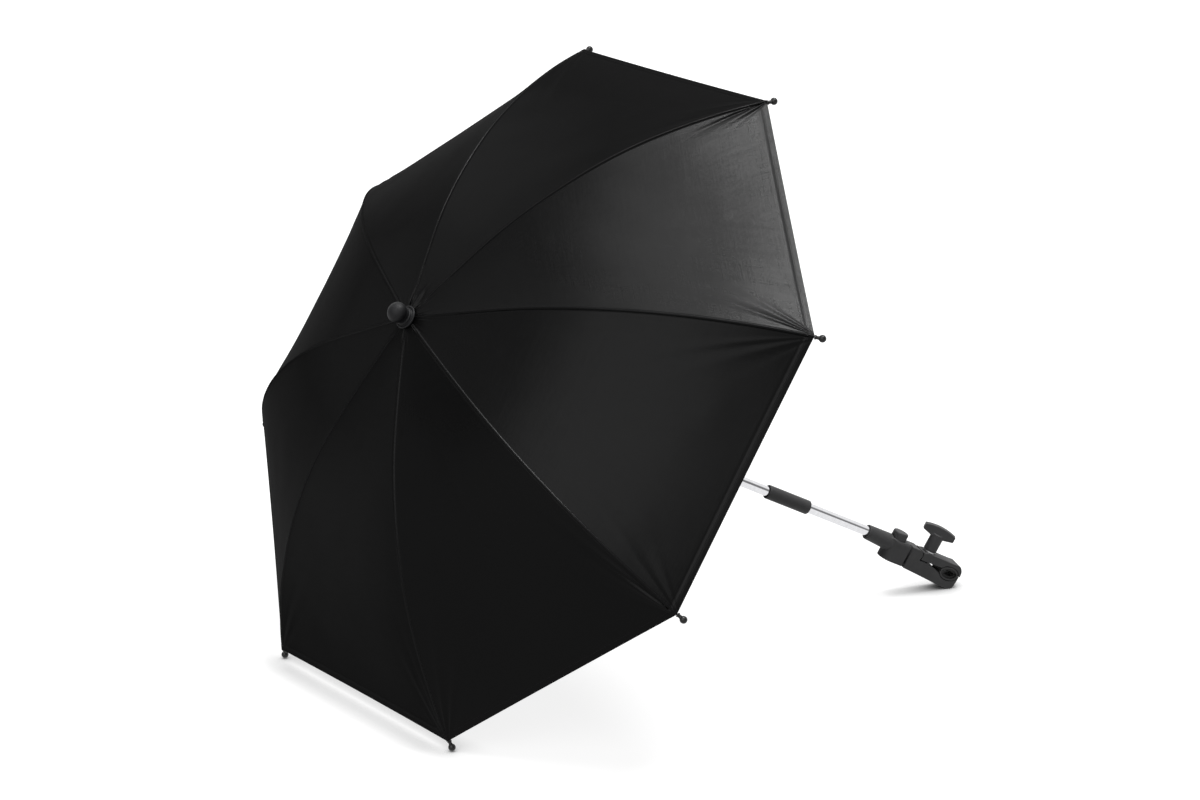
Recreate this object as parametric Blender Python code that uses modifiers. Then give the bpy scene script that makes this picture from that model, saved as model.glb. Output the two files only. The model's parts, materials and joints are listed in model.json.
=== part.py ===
"""Stroller parasol: cloth canopy on eight ribs, tilting pole and screw clamp. Metres, +Z up."""
import math

import bmesh
import bpy
from mathutils import Matrix, Vector

NAME = "stroller_parasol"
GAP = 0.0003
WELD = 0.00001

# canopy: heights in its own frame are counted from the circle through the tip balls
RIB_COUNT = 8
OPEN_RADIUS = 0.350
ROOT_SLOPE = math.radians(6.1)
KNEE_SLOPE = math.radians(9.2)
TIP_SLOPE = math.radians(47.2)
KNEE_RADIUS = 0.094
RIB_RADIUS = 0.0011
RIB_ROOT_RADIUS = 0.0007
RIB_ROOT_LENGTH = 0.0075
RIB_POINTS = 12
CLOTH = 0.0006
CLOTH_SAG = 0.030
HEM_SAG = 0.10
BALL_RADIUS = 0.0034
NECK_RADIUS = 0.0018
NECK_LENGTH = 0.0070

# hubs that carry the ribs and stretchers on wire rings
RING_RADIUS = 0.0085
RING_WIRE = 0.0006
EYE_RADIUS = 0.0018
EYE_THICKNESS = 0.0016
HUB_RADIUS = 0.0115
HUB_HALF_HEIGHT = 0.0019
HUB_SLOT = 0.0022
HUB_SLOT_START = 0.0062
CROWN_DROP = 0.0012
CROWN_BARREL = 0.0070
CROWN_LENGTH = 0.0120

# runner and stretchers
RUNNER_HEIGHT = 0.0750
RUNNER_BARREL = 0.0072
RUNNER_FLANGE = 0.0092
RUNNER_FLANGE_HEIGHT = 0.0025
RUNNER_LENGTH = 0.0200
STRETCHER_JOINT = 0.104
STRETCHER_DROP = 0.0009
STRETCHER_HALF_WIDTH = 0.00245
STRETCHER_THICKNESS = 0.0022
FORK_DEPTH = 0.0220
RIVET_RADIUS = 0.0009
RIVET_HEIGHT = 0.0004
CLOSED_SLOPE = math.radians(82.0)

# pole tubes, knuckle and lock sleeve
POLE_RADIUS = 0.0050
POLE_WALL = 0.0008
FIT = 0.0004
KNUCKLE_HEIGHT = -0.0823
BEND = math.radians(17.47)
BEND_SIDE = math.radians(-69.64)
CHEEK_RADIUS = 0.0047
SHOULDER = 0.0052
KNUCKLE_HEAD = 0.0085
PLUG_LENGTH = 0.0120
TONGUE_HALF = 0.0013
PIN_RADIUS = 0.0015
PIN_FIT = 0.00012
SLEEVE_START = 0.2145
SLEEVE_LENGTH = 0.0488
SLEEVE_RADIUS = 0.0070

# ferrule and washer on top of the cloth
WASHER_RADIUS = 0.0112
WASHER_HEIGHT = 0.0028
FERRULE_RADIUS = 0.0096
FERRULE_HEIGHT = 0.0175
FERRULE_NECK = 0.0076
FERRULE_NECK_HEIGHT = 0.0022
FERRULE_BORE = 0.0084

# catch wire that holds the runner up
CATCH_WIRE = 0.0006
CATCH_NOSE = 0.0068
CATCH_SLOT = 0.0020

# socket housing with its push button, measured along the pole from the knuckle pin
CLAMP_ROLL = math.radians(124.2)
SOCKET_START = 0.3355
SOCKET_RADIUS = 0.0074
SOCKET_DROP = 0.0032
SOCKET_SHIFT = 0.0006
HOUSING_START = 0.3594
HOUSING_END = 0.3834
HOUSING_BOTTOM = -0.0181
HOUSING_TOP = 0.0052
HOUSING_HALF_WIDTH = 0.0105
HOUSING_ROUND = 0.0040
HOUSING_EDGE = 0.0010
BUTTON_PLACE = 0.3710
BUTTON_RADIUS = 0.0080
BUTTON_BODY = 0.0087
BUTTON_TOP = 0.0126
BUTTON_COLLAR = 0.0020
BUTTON_FOOT = -0.0095
BUTTON_TRAVEL = 0.0022
SPRING_TURNS = 4
SPRING_RADIUS = 0.0055
SPRING_WIRE = 0.0006
SPRING_COVER = 0.0020
POLE_END = 0.3765
POLE_CAP = 0.0014

# swivel between housing and clamp
SWIVEL_HEIGHT = -0.0100
SWIVEL_GAP = 0.0030
BOLT_RADIUS = 0.0025
BOLT_HEAD_RADIUS = 0.0040
BOLT_HEAD = 0.0016
BOLT_REACH = 0.0075
SWIVEL_WASHER = 0.0070

# clamp body, upper jaw and knob, in the same side view
CLAMP_HALF_WIDTH = 0.0095
CLAMP_END = 0.4495
CLAMP_BOTTOM = -0.0225
HINGE_PLACE = (0.3950, -0.0015)
HINGE_BARREL = 0.0056
HINGE_TONGUE = 0.0042
EYE_REACH = 0.0039
JAW_START = 0.0063
TONGUE_LENGTH = 0.0030
JAW_PIN_RADIUS = 0.0015
JAW_PIN_COVER = 0.0020
JAW_TOP = 0.0040
JAW_UNDERSIDE = -0.0046
JAW_SLOT = 0.0011
GRIP_PLACE = (0.4365, -0.0066)
GRIP_HALF = (0.0100, 0.0064)
GRIP_TEETH = 9
GRIP_TOOTH = 0.0006
SCREW_PLACE = 0.4098
SCREW_RADIUS = 0.0030
SCREW_FOOT = -0.0205
SLOT_AHEAD = 0.0022
SLOT_BEHIND = 0.0008
NUT_RADIUS = 0.0058
NUT_HEIGHT = 0.0050
NUT_FOOT = -0.0180
THRUST_WASHER = 0.0068
THRUST_THICKNESS = 0.0010
STEM_RADIUS = 0.0068
STEM_LENGTH = 0.0150
WING_LENGTH = 0.0328
WING_THICKNESS = 0.0092
WING_HEIGHT = 0.0110
WING_END = 0.0058
WING_TURN = math.radians(-24.8)

COLOURS = {
    "cloth": ((0.012, 0.012, 0.013), 0.75, 0.0),
    "steel": ((0.62, 0.62, 0.64), 0.18, 1.0),
    "wire": ((0.30, 0.30, 0.31), 0.35, 1.0),
    "black_plastic": ((0.030, 0.030, 0.031), 0.55, 0.0),
    "grey_plastic": ((0.060, 0.060, 0.062), 0.60, 0.0),
    "rubber": ((0.055, 0.055, 0.057), 0.80, 0.0),
}


def rib_azimuth(number):
    """Angle of a rib round the canopy axis, counted from the high side."""
    return math.pi / RIB_COUNT - (number - 1) * 2 * math.pi / RIB_COUNT


def rib_slope(radius):
    """Fall of the rib's line at a radius: nearly straight to the knee, then evenly curved."""
    if radius < KNEE_RADIUS:
        return ROOT_SLOPE + (KNEE_SLOPE - ROOT_SLOPE) * radius / KNEE_RADIUS
    outer = (radius - KNEE_RADIUS) / (OPEN_RADIUS - KNEE_RADIUS)
    return KNEE_SLOPE + (TIP_SLOPE - KNEE_SLOPE) * outer


def rib_height(radius, steps=60):
    """Height of the rib's centre line over the circle of tip balls."""
    step = (OPEN_RADIUS - radius) / steps
    middles = [radius + (n + 0.5) * step for n in range(steps)]
    return sum(math.tan(rib_slope(middle)) * step for middle in middles)


def seam_point(radius):
    """Outside of the cloth where it lies over the rib, as radius and height."""
    cover = RIB_RADIUS + GAP + CLOTH
    slope = rib_slope(radius)
    return radius + cover * math.sin(slope), rib_height(radius) + cover * math.cos(slope)


CROWN_HEIGHT = rib_height(RING_RADIUS) - CROWN_DROP
JOINT_HEIGHT = rib_height(STRETCHER_JOINT) - STRETCHER_DROP
JOINT_RISE = JOINT_HEIGHT - CROWN_HEIGHT
STRETCHER_RUN = STRETCHER_JOINT - RING_RADIUS
STRETCHER_RISE = JOINT_HEIGHT - RUNNER_HEIGHT
STRETCHER_LENGTH = math.hypot(STRETCHER_RUN, STRETCHER_RISE)
STRETCHER_SLOPE = math.atan2(STRETCHER_RISE, STRETCHER_RUN)
TIP_LINE = math.atan2(CROWN_HEIGHT, OPEN_RADIUS - RING_RADIUS)
FOLD_TURN = CLOSED_SLOPE - TIP_LINE


def fold_state(turn):
    """Runner travel and stretcher turn that keep the linkage closed when the ribs fold."""
    reach = math.hypot(STRETCHER_RUN, JOINT_RISE)
    fall = turn - math.atan2(JOINT_RISE, STRETCHER_RUN)
    run = reach * math.cos(fall)
    joint = CROWN_HEIGHT - reach * math.sin(fall)
    rise = math.sqrt(STRETCHER_LENGTH ** 2 - run ** 2)
    return RUNNER_HEIGHT - (joint - rise), math.atan2(rise, run) - STRETCHER_SLOPE


RUNNER_TRAVEL, STRETCHER_TURN = fold_state(FOLD_TURN)
BORE = POLE_RADIUS + FIT
PLUG_RADIUS = POLE_RADIUS - POLE_WALL - GAP
FERRULE_FOOT = seam_point(WASHER_RADIUS)[1] + (WASHER_RADIUS - FERRULE_NECK) * math.tan(ROOT_SLOPE)
FERRULE_FOOT += WASHER_HEIGHT + 2 * GAP
POLE_TOP = FERRULE_FOOT + FERRULE_BORE - GAP


def clear_scene():
    """Start from an empty scene."""
    for thing in list(bpy.data.objects):
        bpy.data.objects.remove(thing, do_unlink=True)


def collection(name):
    """Find or make a collection in the scene."""
    found = bpy.data.collections.get(name)
    if found is None:
        found = bpy.data.collections.new(name)
        bpy.context.scene.collection.children.link(found)
    return found


def material(name, finish):
    """Material of one part: colour, roughness and metallic value of its finish."""
    made = bpy.data.materials.new(name)
    made.use_nodes = True
    colour, rough, metal = COLOURS[finish]
    shader = made.node_tree.nodes["Principled BSDF"]
    shader.inputs["Base Color"].default_value = (*colour, 1.0)
    shader.inputs["Roughness"].default_value = rough
    shader.inputs["Metallic"].default_value = metal
    made.diffuse_color = (*colour, 1.0)
    return made


def frame(name, matrix, parent=None):
    """Empty that holds a group of parts in their own coordinates."""
    made = bpy.data.objects.new(name, None)
    made.empty_display_size = 0.02
    collection(NAME).objects.link(made)
    made.parent = parent
    made.matrix_local = matrix
    return made


def part(name, mesh, finish, parent, matrix=None):
    """Named part with its own material, shaded smooth between its sharp edges."""
    made = bpy.data.objects.new(name, mesh)
    collection(NAME).objects.link(made)
    made.parent = parent
    made.matrix_local = matrix or Matrix()
    mesh.shade_smooth()
    mesh.set_sharp_from_angle(angle=math.radians(35))
    if not mesh.materials:
        mesh.materials.append(material(name, finish))
    return made


def settled(thing):
    """Plain welded mesh of an object with its curve or modifiers worked out; the object goes."""
    bpy.context.view_layer.update()
    seen = thing.evaluated_get(bpy.context.evaluated_depsgraph_get())
    mesh = bpy.data.meshes.new_from_object(seen)
    shape = bmesh.new()
    shape.from_mesh(mesh)
    bmesh.ops.transform(shape, matrix=thing.matrix_world, verts=shape.verts)
    bmesh.ops.remove_doubles(shape, verts=shape.verts, dist=WELD)
    bmesh.ops.recalc_face_normals(shape, faces=shape.faces)
    shape.to_mesh(mesh)
    shape.free()
    bpy.data.objects.remove(thing, do_unlink=True)
    return mesh


def loose(name, data):
    """Object that only serves to work a shape out."""
    made = bpy.data.objects.new(name, data)
    collection("cutters").objects.link(made)
    made.hide_render = True
    made.display_type = "WIRE"
    return made


def combined(base, tool, operation):
    """Mesh of two solids joined, cut or intersected."""
    body = loose("body", base)
    other = loose("tool", tool)
    step = body.modifiers.new("shape", "BOOLEAN")
    step.operation = operation
    step.solver = "EXACT"
    step.object = other
    mesh = settled(body)
    bpy.data.objects.remove(other, do_unlink=True)
    return mesh


def joined(base, *tools):
    """One solid made of several that overlap."""
    for tool in tools:
        base = combined(base, tool, "UNION")
    return base


def cut(base, *tools):
    """A solid with others taken away."""
    for tool in tools:
        base = combined(base, tool, "DIFFERENCE")
    return base


def moved(mesh, matrix):
    """The same mesh carried to another place."""
    mesh.transform(matrix)
    return mesh


def turned(profile, steps=32, matrix=None):
    """Solid of revolution about Z; the profile runs down the outside and back up the inside."""
    mesh = bpy.data.meshes.new("profile")
    count = len(profile)
    closed = profile[0][0] > 0 or profile[-1][0] > 0
    edges = [(n, n + 1) for n in range(count - 1)]
    if closed:
        edges.append((count - 1, 0))
    mesh.from_pydata([(radius, 0, height) for radius, height in profile], edges, [])
    thing = loose("profile", mesh)
    screw = thing.modifiers.new("turn", "SCREW")
    screw.axis = "Z"
    screw.angle = 2 * math.pi
    screw.steps = steps
    screw.render_steps = steps
    screw.use_merge_vertices = True
    screw.merge_threshold = WELD
    return moved(settled(thing), matrix or Matrix())


def rod(radius, start, end, steps=24, matrix=None):
    """Solid cylinder about Z between two heights."""
    top, bottom = max(start, end), min(start, end)
    return turned([(0, top), (radius, top), (radius, bottom), (0, bottom)], steps, matrix)


def tube(outer, inner, start, end, steps=32, matrix=None, edge=0.0):
    """Hollow cylinder about Z, its outer rims broken by a small edge."""
    profile = [(inner, end), (outer - edge, end), (outer, end - edge)]
    profile += [(outer, start + edge), (outer - edge, start), (inner, start)]
    if edge == 0:
        profile = [(inner, end), (outer, end), (outer, start), (inner, start)]
    return turned(profile, steps, matrix)


def block(low, high):
    """Box between two corners."""
    shape = bmesh.new()
    bmesh.ops.create_cube(shape, size=1.0)
    size = Vector(high) - Vector(low)
    bmesh.ops.scale(shape, vec=size, verts=shape.verts)
    bmesh.ops.translate(shape, vec=(Vector(low) + Vector(high)) / 2, verts=shape.verts)
    mesh = bpy.data.meshes.new("block")
    shape.to_mesh(mesh)
    shape.free()
    return mesh


def prism(outline, half, matrix=None, edge=0.0, rounds=1):
    """Flat outline in X and Y made thick in Z, with its rims broken where an edge is given."""
    data = bpy.data.curves.new("outline", "CURVE")
    data.dimensions = "2D"
    data.fill_mode = "BOTH"
    data.extrude = half
    line = data.splines.new("POLY")
    line.points.add(len(outline) - 1)
    for point, (x, y) in zip(line.points, outline):
        point.co = (x, y, 0, 1)
    line.use_cyclic_u = True
    mesh = settled(loose("outline", data))
    if edge:
        thing = loose("edged", mesh)
        bevel = thing.modifiers.new("edge", "BEVEL")
        bevel.width = edge
        bevel.segments = rounds
        bevel.limit_method = "ANGLE"
        bevel.angle_limit = math.radians(40)
        mesh = settled(thing)
    return moved(mesh, matrix or Matrix())


def wire(points, radius, weights=None, resolution=2, cyclic=False, matrix=None):
    """Round wire along points, its ends capped."""
    data = bpy.data.curves.new("wire", "CURVE")
    data.dimensions = "3D"
    data.bevel_depth = radius
    data.bevel_resolution = resolution
    data.use_fill_caps = True
    line = data.splines.new("POLY")
    line.points.add(len(points) - 1)
    for n, (point, place) in enumerate(zip(line.points, points)):
        point.co = (*place, 1)
        point.radius = weights[n] if weights else 1.0
    line.use_cyclic_u = cyclic
    return moved(settled(loose("wire", data)), matrix or Matrix())


def arc(centre, radius, start, end, count):
    """Points of an arc; angles in degrees."""
    turns = [math.radians(start + (end - start) * n / (count - 1)) for n in range(count)]
    return [(centre[0] + radius * math.cos(t), centre[1] + radius * math.sin(t)) for t in turns]


ALONG_Y = Matrix.Rotation(math.radians(90), 4, "X")
ALONG_X = Matrix.Rotation(math.radians(90), 4, "Y")
ACROSS = Matrix.Rotation(math.radians(90), 4, "Z") @ ALONG_Y


def at(x, y, z):
    """Matrix of a shift."""
    return Matrix.Translation((x, y, z))


def ring(radius, thick, steps=24):
    """Closed wire ring about Z."""
    points = []
    for n in range(steps):
        turn = 2 * math.pi * (n + 0.5) / steps
        points.append((radius * math.cos(turn), radius * math.sin(turn), 0))
    return wire(points, thick, resolution=1, cyclic=True)


def hub(barrel, length, flange=None, flange_height=0.0):
    """Slotted hub about Z with its ring groove at height zero and a barrel below."""
    groove = RING_WIRE + GAP
    top, disc = HUB_HALF_HEIGHT, -HUB_HALF_HEIGHT - 0.0016
    profile = [(BORE, top), (RING_RADIUS - groove, top), (RING_RADIUS - groove, -groove)]
    profile += [(RING_RADIUS + groove, -groove), (RING_RADIUS + groove, top), (HUB_RADIUS, top)]
    profile += [(HUB_RADIUS, disc), (barrel, disc)]
    if flange:
        profile += [(barrel, flange_height - length), (flange, flange_height - length)]
        profile += [(flange, -length)]
    else:
        profile += [(barrel, -length)]
    profile += [(BORE, -length)]
    body = turned(profile, 24)
    for number in range(1, RIB_COUNT + 1):
        slot = block((HUB_SLOT_START, -HUB_SLOT / 2, disc - GAP), (0.02, HUB_SLOT / 2, 0.01))
        body = cut(body, moved(slot, Matrix.Rotation(rib_azimuth(number), 4, "Z")))
    return body


def eye_on(body):
    """A body with a round eye for the hub's ring at its origin."""
    side = EYE_THICKNESS / 2
    eye = rod(EYE_RADIUS, -side, side, 12, ALONG_Y)
    hole = rod(RING_WIRE + GAP, -2 * side, 2 * side, 8, ALONG_Y)
    return cut(joined(body, eye), hole)


def rib_mesh():
    """Rib from its eye on the crown to inside the tip, origin in the eye."""
    reach = NECK_LENGTH - 0.0027
    last = OPEN_RADIUS - (NECK_LENGTH - reach + GAP) * math.cos(TIP_SLOPE)
    first = RING_RADIUS + RIB_ROOT_LENGTH
    points = [(0.0003, 0, 0), (RIB_ROOT_LENGTH - 0.001, 0, rib_height(first) - CROWN_HEIGHT)]
    weights = [RIB_ROOT_RADIUS / RIB_RADIUS] * 2
    for n in range(RIB_POINTS):
        radius = first + 0.003 + (last - first - 0.003) * n / (RIB_POINTS - 1)
        points.append((radius - RING_RADIUS, 0, rib_height(radius) - CROWN_HEIGHT))
        weights.append(1.0)
    return eye_on(wire(points, RIB_RADIUS, weights, resolution=1))


def tip_mesh():
    """Ball with a short neck and a blind bore for the rib, origin in the ball, neck along -Z."""
    bore = RIB_RADIUS + GAP
    start = math.asin(NECK_RADIUS / BALL_RADIUS)
    profile = [(0, BALL_RADIUS)]
    for n in range(1, 6):
        turn = (math.pi - start) * n / 5
        profile.append((BALL_RADIUS * math.sin(turn), BALL_RADIUS * math.cos(turn)))
    profile += [(NECK_RADIUS, -NECK_LENGTH), (bore, -NECK_LENGTH), (bore, -0.0024), (0, -0.0024)]
    return turned(profile, 10)


def gore_mesh(rows=11, columns=4):
    """Cloth over one rib, out to the middle of the panel at each side; origin on the axis."""
    share = 2 * math.pi / RIB_COUNT
    start = POLE_RADIUS + GAP + CLOTH
    end = OPEN_RADIUS - (NECK_LENGTH + GAP) * math.cos(TIP_SLOPE)
    shape = bmesh.new()
    bmesh.ops.create_grid(shape, x_segments=rows, y_segments=columns, size=1.0)
    for vert in shape.verts:
        down = (vert.co.x + 1) / 2
        across = vert.co.y
        side = 1 if across >= 0 else -1
        radius, height = seam_point(start + (end - start) * down)
        chord = 2 * radius * math.sin(share / 2)
        blend = abs(across) * (0.5 - GAP / 2 / chord)
        here = Vector((radius, 0, height))
        there = Vector((radius * math.cos(share), side * radius * math.sin(share), height))
        inward = Vector((-math.cos(share / 2), -side * math.sin(share / 2), -0.6)).normalized()
        sag = CLOTH_SAG * chord * 4 * blend * (1 - blend) * (1 - (1 - HEM_SAG) * down ** 5)
        vert.co = here.lerp(there, blend) + inward * sag
    mesh = bpy.data.meshes.new("gore")
    bmesh.ops.recalc_face_normals(shape, faces=shape.faces)
    if sum(face.normal.z for face in shape.faces) < 0:
        bmesh.ops.reverse_faces(shape, faces=shape.faces)
    shape.to_mesh(mesh)
    shape.free()
    thing = loose("gore", mesh)
    thick = thing.modifiers.new("cloth", "SOLIDIFY")
    thick.thickness = CLOTH
    thick.offset = -1
    return settled(thing)


def stretcher_mesh():
    """Stretcher from its eye on the runner to the fork that straddles the rib, along X."""
    root = EYE_THICKNESS / 2
    wide = STRETCHER_HALF_WIDTH
    slot = RIB_RADIUS + FIT
    end = STRETCHER_LENGTH + STRETCHER_THICKNESS / 2
    notch = STRETCHER_LENGTH - FORK_DEPTH
    outline = [(0.0003, root), (0.0090, root), (0.0130, wide), (end, wide), (end, slot)]
    outline += [(notch, slot), (notch, -slot), (end, -slot), (end, -wide)]
    outline += [(0.0130, -wide), (0.0090, -root), (0.0003, -root)]
    body = prism(outline, 0.01)
    thick = STRETCHER_THICKNESS / 2
    profile = arc((STRETCHER_LENGTH, 0), thick, -90, 90, 7) + [(-0.001, thick), (-0.001, -thick)]
    body = combined(body, prism(profile, 0.01, ALONG_Y), "INTERSECT")
    for side in (-1, 1):
        low, high = sorted((side * (wide - 0.0002), side * (wide + RIVET_HEIGHT)))
        head = rod(RIVET_RADIUS, low, high, 8, ALONG_Y.inverted())
        body = joined(body, moved(head, at(STRETCHER_LENGTH, 0, 0)))
    return eye_on(body)


def make_canopy(canopy):
    """Crown, ribs with their tips and cloth, washer and ferrule."""
    part("crown", moved(hub(CROWN_BARREL, CROWN_LENGTH), at(0, 0, CROWN_HEIGHT)), "black_plastic", canopy)
    part("crown_ring", moved(ring(RING_RADIUS, RING_WIRE), at(0, 0, CROWN_HEIGHT)), "wire", canopy)
    ribs, tips, gores = rib_mesh(), tip_mesh(), gore_mesh()
    tip_place = at(OPEN_RADIUS - RING_RADIUS, 0, -CROWN_HEIGHT)
    tip_place = tip_place @ Matrix.Rotation(math.pi / 2 + TIP_SLOPE, 4, "Y")
    for number in range(1, RIB_COUNT + 1):
        turn = Matrix.Rotation(rib_azimuth(number), 4, "Z")
        pivot = turn @ at(RING_RADIUS, 0, CROWN_HEIGHT)
        rib = part(f"rib_{number}", ribs, "wire", canopy, pivot)
        part(f"rib_tip_{number}", tips, "black_plastic", rib, tip_place)
        part(f"canopy_gore_{number}", gores, "cloth", rib, at(-RING_RADIUS, 0, -CROWN_HEIGHT))
    make_ferrule(canopy)


def make_ferrule(canopy):
    """Soft washer on the cloth and the domed ferrule that is screwed on the pole's end."""
    foot = FERRULE_FOOT
    seat = foot - GAP - WASHER_HEIGHT
    washer = tube(WASHER_RADIUS, BORE, seat, seat + WASHER_HEIGHT, 24, edge=WASHER_HEIGHT / 3)
    part("canopy_washer", washer, "rubber", canopy)
    neck = foot + FERRULE_NECK_HEIGHT
    top = foot + FERRULE_HEIGHT
    profile = [(0, top)]
    sweep = math.pi - math.asin(FERRULE_NECK / FERRULE_RADIUS)
    rise = (top - neck) / (1 - math.cos(sweep))
    for n in range(1, 8):
        turn = sweep * n / 7
        profile.append((FERRULE_RADIUS * math.sin(turn), top - rise * (1 - math.cos(turn))))
    profile += [(FERRULE_NECK, foot), (BORE, foot)]
    profile += [(BORE, POLE_TOP + GAP), (0, POLE_TOP + GAP)]
    part("ferrule_cap", turned(profile, 24), "rubber", canopy)


def make_runner(canopy):
    """Runner that slides on the upper pole, its ring, and eight stretchers."""
    runner_frame = at(0, 0, RUNNER_HEIGHT)
    body = hub(RUNNER_BARREL, RUNNER_LENGTH, RUNNER_FLANGE, RUNNER_FLANGE_HEIGHT)
    runner = part("runner", body, "black_plastic", canopy, runner_frame)
    part("runner_ring", ring(RING_RADIUS, RING_WIRE), "wire", runner)
    stretchers = stretcher_mesh()
    for number in range(1, RIB_COUNT + 1):
        turn = Matrix.Rotation(rib_azimuth(number), 4, "Z")
        lean = Matrix.Rotation(-STRETCHER_SLOPE, 4, "Y")
        part(f"stretcher_{number}", stretchers, "wire", runner, turn @ at(RING_RADIUS, 0, 0) @ lean)


def make_upper_pole(canopy):
    """Upper tube with the slot of the catch wire, and the wire."""
    foot = KNUCKLE_HEIGHT + KNUCKLE_HEAD + GAP
    inner = POLE_RADIUS - POLE_WALL
    stop = RUNNER_HEIGHT - RUNNER_LENGTH - GAP
    body = tube(POLE_RADIUS, inner, foot, POLE_TOP, 24)
    slot = block((0.001, -CATCH_SLOT / 2, stop - 0.0120), (0.009, CATCH_SLOT / 2, stop + 0.0010))
    part("upper_pole", cut(body, slot), "steel", canopy)
    wall = inner - CATCH_WIRE - GAP
    nose = stop - CATCH_WIRE
    points = [(wall, 0, nose + 0.0090), (wall - 0.0004, 0, nose), (CATCH_NOSE, 0, nose)]
    points += [(CATCH_NOSE, 0, nose - 0.0012), (wall - 0.0004, 0, nose - 0.0090)]
    points += [(wall, 0, nose - 0.0200), (-wall, 0, nose - 0.0270), (-wall, 0, nose - 0.0320)]
    part("catch_wire", wire(points, CATCH_WIRE, resolution=1), "wire", canopy)


def knuckle_fork():
    """Upper half of the tilt joint about its pin (along Y): two cheeks, plug up Z."""
    wide = POLE_RADIUS + GAP
    outline = arc((0, 0), CHEEK_RADIUS, 180, 360, 13)
    outline += [(wide, 0.0020), (wide, KNUCKLE_HEAD + 0.01), (-wide, KNUCKLE_HEAD + 0.01), (-wide, 0.0020)]
    body = rod(POLE_RADIUS, -0.01, KNUCKLE_HEAD, 24)
    body = combined(body, prism(outline, 2 * POLE_RADIUS, ALONG_Y), "INTERSECT")
    body = joined(body, rod(PLUG_RADIUS, KNUCKLE_HEAD - 0.001, KNUCKLE_HEAD + PLUG_LENGTH, 20))
    room = TONGUE_HALF + GAP
    slot = block((-0.01, -room, -0.01), (0.01, room, SHOULDER))
    return cut(body, slot, rod(PIN_RADIUS + PIN_FIT, -0.01, 0.01, 16, ALONG_Y))


def knuckle_tongue():
    """Lower half of the tilt joint about its pin (along Y): one tongue, plug up Z."""
    outline = arc((0, 0), CHEEK_RADIUS, 180, 360, 13)
    outline += [(CHEEK_RADIUS, SHOULDER + 0.001), (-CHEEK_RADIUS, SHOULDER + 0.001)]
    body = rod(POLE_RADIUS, SHOULDER, KNUCKLE_HEAD, 24)
    plug = rod(PLUG_RADIUS, KNUCKLE_HEAD - 0.001, KNUCKLE_HEAD + PLUG_LENGTH, 20)
    body = joined(body, plug, prism(outline, TONGUE_HALF, ALONG_Y))
    return cut(body, rod(PIN_RADIUS + PIN_FIT, -0.01, 0.01, 16, ALONG_Y))


def make_knuckle(canopy, bent):
    """Fork on the upper pole, tongue on the lower pole and the pin through both."""
    level = at(0, 0, KNUCKLE_HEIGHT) @ Matrix.Rotation(BEND_SIDE, 4, "Z")
    part("knuckle_fork", knuckle_fork(), "steel", canopy, level)
    part("knuckle_tongue", moved(knuckle_tongue(), ALONG_X), "steel", bent)
    pin = rod(PIN_RADIUS, -CHEEK_RADIUS, CHEEK_RADIUS, 16, ALONG_Y)
    part("knuckle_pin", pin, "wire", canopy, level)


def make_lower_pole(bent):
    """Lower tube, its end plug and the sliding lock sleeve, along X from the knuckle pin."""
    inner = POLE_RADIUS - POLE_WALL
    part("lower_pole", tube(POLE_RADIUS, inner, KNUCKLE_HEAD + GAP, POLE_END, 24, ALONG_X), "steel", bent)
    profile = [(0, POLE_END + GAP + POLE_CAP), (POLE_RADIUS, POLE_END + GAP + POLE_CAP)]
    profile += [(POLE_RADIUS, POLE_END + GAP), (PLUG_RADIUS, POLE_END + GAP)]
    profile += [(PLUG_RADIUS, POLE_END - PLUG_LENGTH), (0, POLE_END - PLUG_LENGTH)]
    part("pole_end_plug", turned(profile, 24, ALONG_X), "black_plastic", bent)
    sleeve = tube(SLEEVE_RADIUS, BORE, 0, SLEEVE_LENGTH, 28, ALONG_X, edge=0.0007)
    part("lock_sleeve", sleeve, "grey_plastic", bent, at(SLEEVE_START, 0, 0))


def socket_mesh():
    """Socket that widens downwards from the pole's mouth to the housing."""
    wide = SOCKET_RADIUS + SOCKET_DROP / 2
    profile = [(0, BUTTON_PLACE), (wide, BUTTON_PLACE), (SOCKET_RADIUS, SOCKET_START), (0, SOCKET_START)]
    fall = SOCKET_DROP / 2 / (BUTTON_PLACE - SOCKET_START)
    lean = Matrix()
    lean[2][0] = -fall
    lean[2][3] = fall * SOCKET_START - SOCKET_SHIFT
    return turned(profile, 28, lean @ ALONG_X)


def housing_mesh():
    """Housing round under the button, flat at the swivel, with rounded shoulders."""
    wide = HOUSING_HALF_WIDTH
    middle, half = (HOUSING_TOP + HOUSING_BOTTOM) / 2, (HOUSING_TOP - HOUSING_BOTTOM) / 2
    plan = arc((HOUSING_START + wide, 0), wide, 90, 270, 17) + [(HOUSING_END, -wide), (HOUSING_END, wide)]
    body = prism(plan, half, at(0, 0, middle), edge=HOUSING_EDGE)
    inner, shoulder = wide - HOUSING_ROUND, HOUSING_TOP - HOUSING_ROUND
    section = arc((inner, shoulder), HOUSING_ROUND, 0, 90, 5)
    section += arc((-inner, shoulder), HOUSING_ROUND, 90, 180, 5)
    section += [(-wide, HOUSING_BOTTOM - 0.001), (wide, HOUSING_BOTTOM - 0.001)]
    return combined(body, prism(section, 2 * HOUSING_END, ACROSS), "INTERSECT")


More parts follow.
